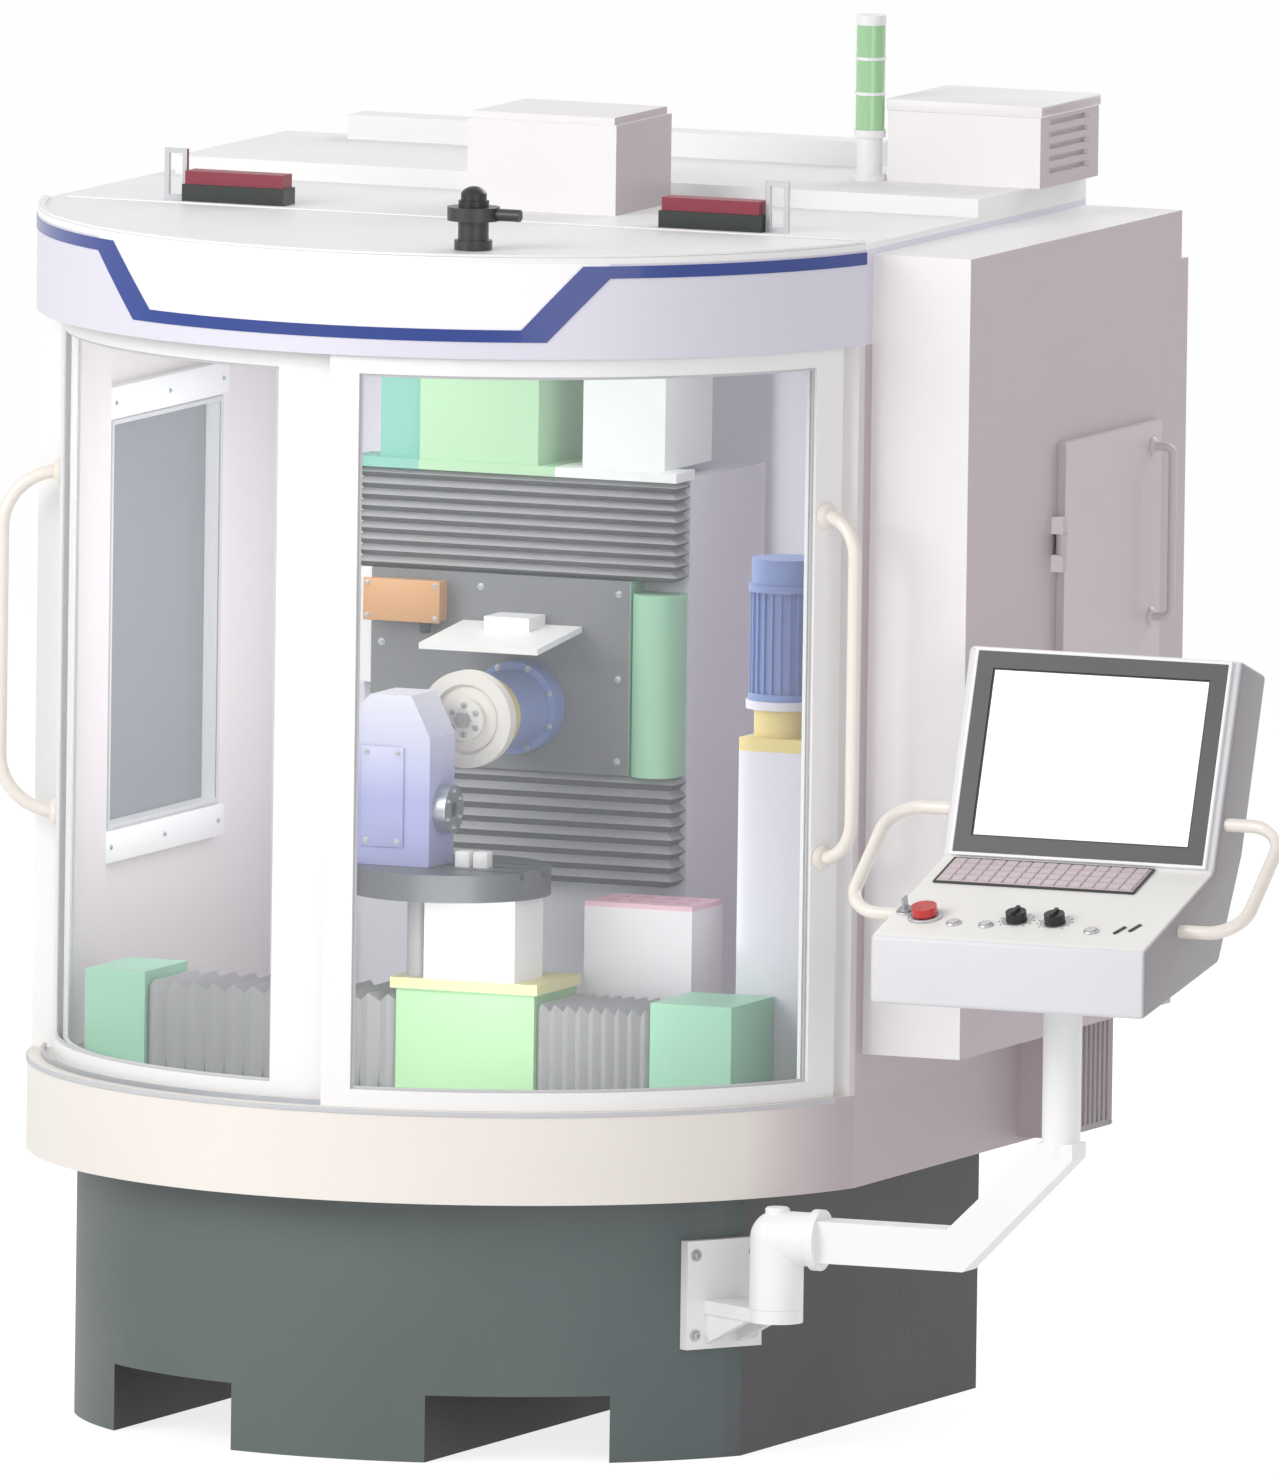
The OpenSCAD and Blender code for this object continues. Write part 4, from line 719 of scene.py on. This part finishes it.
def dressRoof(values):
    inner, outer, high, reach, rounding = values["bead"]
    bead = arcStrip("roofBead", inner, outer, roofZ, roofZ + high, -reach, reach, rounding)
    finishPiece(bead, "powderCoatWhite", "machine")
    y, half, wide, high, rounding = values["seam"]
    seam = barPiece("roofSeam", (-half, y - wide / 2, roofZ), (half, y + wide / 2, roofZ + high), rounding)
    finishPiece(seam, "powderCoatWhite", "machine")
    inner, outer, low, high, reach, rounding = values["sill"]
    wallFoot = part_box("left_wall")[0].z
    strip = arcStrip("sillStrip", inner, outer, wallFoot + low, wallFoot + high, -reach, reach, rounding)
    finishPiece(strip, "sealRubber", "machine")

    low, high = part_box("signal_lens")
    middle, radius = (low + high) / 2, (high.x - low.x) / 2
    axis = Matrix.Translation((middle.x, middle.y, 0))
    proud, tall = values["ring"]
    rings = []
    for share in values["towerRings"]:
        z = low.z + share * (high.z - low.z)
        inner, outer = radius - proud, radius + proud
        loop = [(inner, z), (outer, z), (outer, z + tall), (inner, z + tall)]
        rings.append(ringPiece("towerRings", loop, axis))
    finishPiece(joinPieces("towerRings", rings), "powderCoatWhite", "machine")

    low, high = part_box("mist_collector")
    edge, deep, top, rounding = values["lid"]
    lid = barPiece("mistLid", (low.x - edge, low.y - edge, high.z - deep),
                   (high.x + edge, high.y + edge, high.z + top), rounding)
    finishPiece(lid, "powderCoatSide", "machine")
    places = [Vector((low.x + share * (high.x - low.x), high.y, high.z - values["latchLow"]))
              for share in values["latches"]]
    seat = Matrix.Translation(places[0])
    latch = joinPieces("mistLatches", [barPiece("mistLatches", *values["latchPlate"], seat),
                                       barPiece("latchHook", *values["latchHook"], seat)])
    latches = repeated(latch, [place - places[0] for place in places[1:]])
    finishPiece(latches, "platedSteel", "machine")


dressRoof(roofTrim)
print("roof dressed")

# Cabinet door's rosettes and locks, faces of the drive modules, louvres of the rear cooler, rear panel
cabinetTrim = {
    "leafFace": 0.9133,
    "handleY": 0.62,
    "handleZ": (1.305, 1.585),
    "rosette": [(0.015, 0.0), (0.015, 0.002), (0.0125, 0.005), (0.008, 0.007)],
    "lockZ": (0.86, 1.20),
    "lock": [(0.017, 0.0), (0.017, 0.003), (0.0145, 0.006), (0.0125, 0.006), (0.0125, 0.0045),
             (0.004, 0.0045)],
    "modules": (0.270, 0.072, 5),  # first in Y, pitch, count
    "window": ((0.0, 0.012, 1.450), (0.003, 0.050, 1.490), 0.001),
    "strip": ((0.0, 0.006, 1.222), (0.006, 0.056, 1.246), 0.0015),
    "louvre": ((0.765, -0.004, -0.009), (0.862, 0.002, 0.009), 0.001),
    "louvreFirst": (0, 0.80, 0.80),
    "louvreLean": -30,
    "louvreStep": (0.034, 28),  # pitch, count
    "panel": ((-0.52, 0.770, 0.72), (0.52, 0.774, 1.70), 0.0015),
    "panelScrew": (0.02, 0.0035),  # in from the edge, head's radius
    "ventScrew": (0.005, 0.0022),  # the same
}


def dressCabinet(values):
    face, y = values["leafFace"], values["handleY"]
    rings = [turnedPiece("cabinetRosettes", values["rosette"], facing((face, y, z), (1, 0, 0)))
             for z in values["handleZ"]]
    finishPiece(joinPieces("cabinetRosettes", rings), "powderCoatDoor", "cabinet_leaf")
    locks = [turnedPiece("cabinetLocks", values["lock"], facing((face, y, z), (1, 0, 0)))
             for z in values["lockZ"]]
    finishPiece(joinPieces("cabinetLocks", locks), "blackPlastic", "cabinet_leaf")

    start, pitch, count = values["modules"]
    seat = Matrix.Translation((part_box("drive_rack")[1].x, start, 0))
    face = joinPieces("driveFaces", [barPiece("driveFaces", *values["window"], seat),
                                     barPiece("driveStrip", *values["strip"], seat)])
    faces = repeated(face, [(0, i * pitch, 0) for i in range(1, count)])
    finishPiece(faces, "blackPlastic", "machine")

    pitch, count = values["louvreStep"]
    lean = Matrix.Translation(values["louvreFirst"]) @ turned(values["louvreLean"], "X")
    slat = barPiece("coolerLouvres", *values["louvre"], lean)
    slats = repeated(slat, [(0, 0, i * pitch) for i in range(1, count)])
    finishPiece(slats, "powderCoatWhite", "machine")

    finishPiece(barPiece("rearPanel", *values["panel"]), "powderCoatWhite", "machine")
    low, high = Vector(values["panel"][0]), Vector(values["panel"][1])
    inset, radius = values["panelScrew"]
    columns = [low.x + inset, (low.x + high.x) / 2, high.x - inset]
    rows = [low.z + inset, (low.z + high.z) / 2, high.z - inset]
    places = [(x, high.y, z) for x in columns for z in rows if (x, z) != (columns[1], rows[1])]
    screwSet("rearPanelScrews", places, (0, 1, 0), radius, "machine")
    low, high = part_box("side_vent")
    inset, radius = values["ventScrew"]
    corners = [(high.x, y, z) for y in (low.y + inset, high.y - inset)
               for z in (low.z + inset, high.z - inset)]
    screwSet("ventScrews", corners, (1, 0, 0), radius, "machine")


dressCabinet(cabinetTrim)
print("cabinet dressed")

# Bolts of the arm's wall plate and of the flange under the console, cap on the elbow
armTrim = {
    "plateFace": 0.682,
    "plateBolts": (0.058, (0.205, 0.337), 0.006),  # off the middle, levels, head's radius
    "flangeBolts": (0.064, 6, 0.0045),  # ring's radius, count, head's radius
    "flangeZ": 0.786,
    "capZ": 0.422,
    "cap": [(0.020, -0.006), (0.020, 0.003), (0.017, 0.006), (0.006, 0.007)],
}


def dressArm(values):
    pivot, post = Vector(joints["arm_swivel"]["pos_m"]), Vector(joints["pendant_swivel"]["pos_m"])
    out = Vector((pivot.x, pivot.y, 0)).normalized()
    along = Vector((-out.y, out.x, 0))
    side, levels, radius = values["plateBolts"]
    places = [out * values["plateFace"] + along * step + Vector((0, 0, z))
              for step in (-side, side) for z in levels]
    screwSet("bracketBolts", places, out, radius, "machine")
    ring, count, radius = values["flangeBolts"]
    centre = Vector((post.x, post.y, values["flangeZ"]))
    places = ringPlaces(centre, Vector((1, 0, 0)), Vector((0, 1, 0)), ring, count, share=0)
    screwSet("flangeBolts", places, (0, 0, -1), radius, "arm")
    cap = turnedPiece("elbowCap", values["cap"], Matrix.Translation((pivot.x, pivot.y, values["capZ"])))
    finishPiece(cap, "powderCoatWhite", "arm")


dressArm(armTrim)
print("arm dressed")

# Console shell with rounded edges, drawn along its side and pulled across, and its small fittings
console = {
    "width": 0.480,
    "postBack": 0.245,
    "front": 0.113,
    "deck": (0.300, 0.097),  # depth, rise
    "screen": (0.353, 18.0, 0.110),  # length, tilt in degrees, thickness
    "backDrop": 0.300,
    "heel": (0.325, 0.060),  # back and up from the front's foot
    "rounding": 0.009,
    "neck": [(0.062, -0.0005), (0.068, 0.004), (0.068, 0.090)],
    "bezel": (0.437, 0.334),
    "rim": (0.006, 0.0075, 0.002),  # border, height, rounding
    "view": (0.380, 0.279),
    "bead": (0.0025, 0.0046, 0.0008),  # the same
    "keys": (-0.038, 0.2163, 0.344, 0.090),  # place across and up the deck, width, depth
    "keysRim": (0.004, 0.0042, 0.0012),  # border, height, rounding
    "stopCollar": ([(-0.175, 0.080)],
                   [(0.0095, 0), (0.029, 0), (0.029, 0.003), (0.0265, 0.005), (0.0225, 0.005),
                    (0.0225, 0.0015), (0.0095, 0.0015)]),
    "dialCollars": ([(-0.018, 0.088), (0.049, 0.088)],
                    [(0.0178, 0), (0.025, 0), (0.025, 0.001), (0.0243, 0.0016), (0.0178, 0.0016)]),
    "keyCollar": ([(-0.215, 0.096)],
                  [(0.0116, 0), (0.016, 0), (0.016, 0.002), (0.015, 0.003), (0.0116, 0.003)]),
    "buttonCollars": ([(-0.118, 0.062), (-0.062, 0.062), (0.122, 0.062)],
                      [(0.0084, 0), (0.0125, 0), (0.0125, 0.002), (0.0113, 0.0035), (0.0084, 0.0035)]),
    "mark": ((-0.0006, 0.0268, -0.0002), (0.0006, 0.0305, 0.0006), 0.0002),
    "markTurns": (-135, 27, 11),  # first, step, count
    "port": ((-0.015, -0.003, -0.001), (0.015, 0.003, 0.0025), 0.001),
    "portSpots": [(0.168, 0.072), (0.190, 0.084)],
    "portTurn": 72,
    "louvre": ((-0.12, 0.120, -0.006), (0.12, 0.130, 0.0), 0.002),
    "louvreStep": (0.022, 7),  # pitch, count
}


# Closed form from its side outline, pulled across to its width
def shellPiece(name, points, width, left):
    bpy.ops.object.select_all(action="DESELECT")
    bpy.ops.mesh.primitive_plane_add(location=(0, 0, 0))
    piece = started(name)
    editAll()
    bpy.ops.mesh.merge(type="CENTER")  # one point, the outline's first
    bpy.ops.transform.translate(value=(left, points[0][0], points[0][1]))
    for last, point in zip(points, points[1:]):
        step = (0, point[0] - last[0], point[1] - last[1])
        bpy.ops.mesh.extrude_region_move(TRANSFORM_OT_translate={"value": step})
    bpy.ops.mesh.select_all(action="SELECT")
    bpy.ops.mesh.edge_face_add()
    bpy.ops.mesh.extrude_region_move(TRANSFORM_OT_translate={"value": (width, 0, 0)})
    editDone()
    outward(piece)
    return piece


def makeConsole(values):
    post = Vector(joints["pendant_swivel"]["pos_m"])
    z0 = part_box("pendant_housing")[0].z
    y0, z1 = post.y - values["postBack"], z0 + values["front"]
    deckDeep, deckRise = values["deck"]
    screenLong, tilt, thick = values["screen"]
    up = Vector((math.sin(math.radians(tilt)), math.cos(math.radians(tilt))))
    away = Vector((up.y, -up.x))
    foot = Vector((y0 + deckDeep, z1 + deckRise))
    head = foot + up * screenLong
    heelBack, heelUp = values["heel"]
    points = [Vector((y0, z0)), Vector((y0, z1)), foot, head, head + away * thick,
              head + away * thick - up * values["backDrop"], Vector((y0 + heelBack, z0 + heelUp))]
    shell = shellPiece("consoleShell", points, values["width"], post.x - values["width"] / 2)
    roundEdges(shell, values["rounding"], segments=4)
    neck = turnedPiece("consoleNeck", values["neck"], Matrix.Translation((post.x, post.y, z0)))
    shell = joinPieces("consoleShell", [shell, neck])
    finishPiece(shell, "consoleCoat", "pendant")
    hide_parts("pendant_housing")

    slope = math.atan2(deckRise, deckDeep)
    screenPlane = Matrix.Translation((post.x, foot.x, foot.y)) @ turned(90 - tilt, "X")

    def onDeck(u, v):
        spot = (post.x + u, y0 + v * math.cos(slope), z1 + v * math.sin(slope))
        return Matrix.Translation(spot) @ Matrix.Rotation(slope, 4, "X")

    middle = screenPlane @ Matrix.Translation((0, screenLong / 2, 0))
    (wide, tall), (border, high, soft) = values["bezel"], values["rim"]
    rim = framePiece("screenRim", wide + 2 * border, tall + 2 * border, border, high, soft, middle)
    finishPiece(rim, "powderCoatWhite", "pendant")
    (wide, tall), (border, high, soft) = values["view"], values["bead"]
    bead = framePiece("screenBead", wide, tall, border, high, soft, middle)
    finishPiece(bead, "blackPlastic", "pendant")
    (u, v, wide, tall), (border, high, soft) = values["keys"], values["keysRim"]
    frameRim = framePiece("keyboardRim", wide + 2 * border, tall + 2 * border, border, high, soft,
                          onDeck(u, v + tall / 2))
    finishPiece(frameRim, "bezelPlastic", "pendant")

    rings = []
    for kind in ("stopCollar", "dialCollars", "keyCollar", "buttonCollars"):
        spots, loop = values[kind]
        rings += [ringPiece("deckCollars", loop, onDeck(u, v)) for u, v in spots]
    finishPiece(joinPieces("deckCollars", rings), "platedSteel", "pendant")

    start, step, count = values["markTurns"]
    seats = [onDeck(u, v) @ turned(start + i * step, "Z")
             for u, v in values["dialCollars"][0] for i in range(count)]
    marks = [barPiece("dialMarks", *values["mark"], seats[0])]
    marks += [copyAt(marks[0], seat @ seats[0].inverted()) for seat in seats[1:]]
    finishPiece(joinPieces("dialMarks", marks), "blackPlastic", "pendant")

    ports = [barPiece("deckPorts", *values["port"], onDeck(u, v) @ turned(values["portTurn"], "Z"))
             for u, v in values["portSpots"]]
    finishPiece(joinPieces("deckPorts", ports), "bezelPlastic", "pendant")

    pitch, count = values["louvreStep"]
    slat = barPiece("consoleLouvres", *values["louvre"], screenPlane @ Matrix.Translation((0, 0, -thick)))
    slats = repeated(slat, [Vector((0, up.x, up.y)) * (i * pitch) for i in range(1, count)])
    finishPiece(slats, "consoleCoat", "pendant")


makeConsole(console)
print("console made")

# Wheel head, wheel and workhead: lids, screws, blotter, and the stop blocks on the table
headTrim = {
    "lid": ((-0.253, 0.060, 1.289), (-0.117, 0.066, 1.359), 0.002),
    "lidScrew": (0.008, 0.0026),  # in from the edge, head's radius
    "glandSpot": (-0.150, 0.082, 1.292),
    "gland": [(0.012, -0.001), (0.012, 0.008), (0.009, 0.011), (0.009, 0.020), (0.006, 0.022)],
    "plateScrews": [(-0.235, 1.075), (-0.235, 1.250), (0.185, 1.075), (0.185, 1.210), (0.185, 1.350),
                    (-0.060, 1.350)],
    "plateY": 0.100,
    "plateScrew": 0.0035,
    "flange": (0.060, 0.070, 8, 0.0032),  # face in Y, ring's radius, count, head's radius
    "clampScrews": (-0.146, 0.024, 6, 0.003),  # the same
    "blotter": [(0.0335, 0.0), (0.053, 0.0), (0.053, 0.0012), (0.052, 0.0018), (0.0335, 0.0018)],
    "blotterY": -0.130,
    "cover": (0.020, 0.045, 0.030, 0.085, 0.004, 0.0015),  # four margins, thickness, rounding
    "coverScrew": (0.010, 0.0028),  # in from the edge, head's radius
    "noseX": 0.0413,
    "noseScrews": (0.030, 6, 0.003),  # ring's radius, count, head's radius
    "stops": (0.062, -0.247),
    "stop": ((-0.013, -0.013, -0.004), (0.013, 0.013, 0.026), 0.003),
    "stopStep": 0.032,
}


def dressHead(values):
    toFront, right, up = Vector((0, -1, 0)), Vector((1, 0, 0)), Vector((0, 0, 1))
    low, high = Vector(values["lid"][0]), Vector(values["lid"][1])
    finishPiece(barPiece("terminalLid", *values["lid"]), "headEnamel", "wheel_head")
    inset, radius = values["lidScrew"]
    places = [(x, low.y, z) for x in (low.x + inset, high.x - inset) for z in (low.z + inset, high.z - inset)]
    screwSet("terminalScrews", places, toFront, radius, "wheel_head")
    gland = turnedPiece("terminalGland", values["gland"], facing(values["glandSpot"], (0, 0, -1)))
    finishPiece(gland, "blackPlastic", "wheel_head")
    places = [(x, values["plateY"], z) for x, z in values["plateScrews"]]
    screwSet("plateScrews", places, toFront, values["plateScrew"], "wheel_head")
    axis = Vector(joints["wheel_spin"]["pos_m"])
    y, ring, count, radius = values["flange"]
    places = ringPlaces(Vector((axis.x, y, axis.z)), right, up, ring, count)
    screwSet("flangeScrews", places, toFront, radius, "wheel_head")
    y, ring, count, radius = values["clampScrews"]
    places = ringPlaces(Vector((axis.x, y, axis.z)), right, up, ring, count)
    screwSet("clampScrews", places, toFront, radius, "wheel")
    blotter = ringPiece("wheelBlotter", values["blotter"],
                        facing((axis.x, values["blotterY"], axis.z), toFront))
    finishPiece(blotter, "blotterCard", "wheel")

    low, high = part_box("workhead")
    fromLeft, fromRight, fromFoot, fromTop, thick, rounding = values["cover"]
    first = Vector((low.x + fromLeft, low.y - thick, low.z + fromFoot))
    last = Vector((high.x - fromRight, low.y, high.z - fromTop))
    finishPiece(barPiece("workheadCover", first, last, rounding), "workheadEnamel", "table")
    inset, radius = values["coverScrew"]
    places = [(x, first.y, z) for x in (first.x + inset, last.x - inset)
              for z in (first.z + inset, last.z - inset)]
    screwSet("workheadScrews", places, toFront, radius, "table")
    axis = Vector(joints["work_spin"]["pos_m"])
    ring, count, radius = values["noseScrews"]
    places = ringPlaces(Vector((values["noseX"], axis.y, axis.z)), Vector((0, 1, 0)), up, ring, count)
    screwSet("noseScrews", places, right, radius, "work_nose")
    seat = Matrix.Translation((*values["stops"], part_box("rotary_table")[1].z))
    stops = repeated(barPiece("tableStops", *values["stop"], seat), [(values["stopStep"], 0, 0)])
    finishPiece(stops, "powderCoatWhite", "table")


dressHead(headTrim)
print("wheel head dressed")

# Studio: pale floor, white surround for the eye, soft lamps
studio = {
    "floorSize": 120.0,
    "floorTone": "#f4f4f4",
    "floorGlow": 0.62,
    "floorLevel": 1.32,
    "skyGlow": 0.5,
    "lampAim": (0.1, 0.0, 1.0),
    "lamps": [  # name, place, size, watts, tint
        ("keyLamp", (-3.6, -6.5, 4.6), 4.5, 355, (1.0, 0.99, 0.97)),
        ("fillLamp", (5.2, -5.5, 2.6), 4.0, 90, (1.0, 0.95, 0.97)),
        ("rearLamp", (2.0, 5.5, 5.0), 4.0, 200, (0.97, 0.98, 1.0)),
    ],
    "insideLamps": [  # place, aim, size, watts
        ((-0.2, -0.25, 1.90), (0, 0.15, -1), 0.4, 2.2),
        ((0.42, -0.1, 1.90), (0, 0, -1), 0.3, 1.1),
        ((-0.33, 0.25, 1.25), (-1, 0.1, 0), 0.9, 3.0),
        ((0.34, 0.3, 1.25), (1, 0.35, 0), 0.9, 1.6),
        ((0.16, -0.55, 0.78), (-0.1, 1, 0.05), 0.36, 1.0),
    ],
}


def raySeen(tree):
    rays = addNode(tree, "ShaderNodeLightPath").outputs
    seen = addNode(tree, "ShaderNodeMath", {"operation": "MAXIMUM"},
                   {0: rays["Is Camera Ray"], 1: rays["Is Glossy Ray"]}).outputs[0]
    return addNode(tree, "ShaderNodeMath", {"operation": "MAXIMUM"},
                   {0: seen, 1: rays["Is Transmission Ray"]}).outputs[0]


def makeStudio(values):
    bpy.ops.object.select_all(action="DESELECT")
    bpy.ops.mesh.primitive_plane_add(size=values["floorSize"], location=(0, 0, 0))
    floor = started("studioFloor")
    material, tree = newMaterial("paleFloor")
    share = addNode(tree, "ShaderNodeMath", {"operation": "MULTIPLY", 1: values["floorGlow"]},
                    {0: raySeen(tree)}).outputs[0]
    matt = addNode(tree, "ShaderNodeBsdfDiffuse", {"Color": linear(values["floorTone"])})
    glow = addNode(tree, "ShaderNodeEmission", {"Color": (1, 1, 1, 1), "Strength": values["floorLevel"]})
    both = addNode(tree, "ShaderNodeMixShader", None, {0: share, 1: matt.outputs[0], 2: glow.outputs[0]})
    addNode(tree, "ShaderNodeOutputMaterial", None, {"Surface": both.outputs[0]})
    floor.data.materials.append(material)

    world = bpy.data.worlds.new("studioSurround")
    bpy.context.scene.world = world
    world.use_nodes = True
    tree = world.node_tree
    tree.nodes.clear()
    level = addNode(tree, "ShaderNodeMapRange", {"To Min": values["skyGlow"], "To Max": 1.0},
                    {"Value": raySeen(tree)})
    sky = addNode(tree, "ShaderNodeBackground", {"Color": (1, 1, 1, 1)}, {"Strength": level.outputs[0]})
    addNode(tree, "ShaderNodeOutputWorld", None, {"Surface": sky.outputs[0]})

    for name, spot, size, power, tint in values["lamps"]:
        addLamp(name, Vector(spot), Vector(values["lampAim"]) - Vector(spot), size, power, tint)
    for i, (spot, aim, size, power) in enumerate(values["insideLamps"]):
        addLamp("insideLamp%d" % i, Vector(spot), Vector(aim), size, power, (1, 1, 1))


def addLamp(name, spot, aim, size, power, tint):
    lampData = bpy.data.lights.new(name, "AREA")
    lampData.size = size
    lampData.energy = power
    lampData.color = tint
    lamp = bpy.data.objects.new(name, lampData)
    bpy.context.scene.collection.objects.link(lamp)
    lamp.location = spot
    lamp.rotation_mode = "QUATERNION"
    lamp.rotation_quaternion = aim.to_track_quat("-Z", "Y")
    lamp.visible_camera = False


makeStudio(studio)
bpy.context.scene.view_settings.view_transform = "Standard"
print("studio lit")
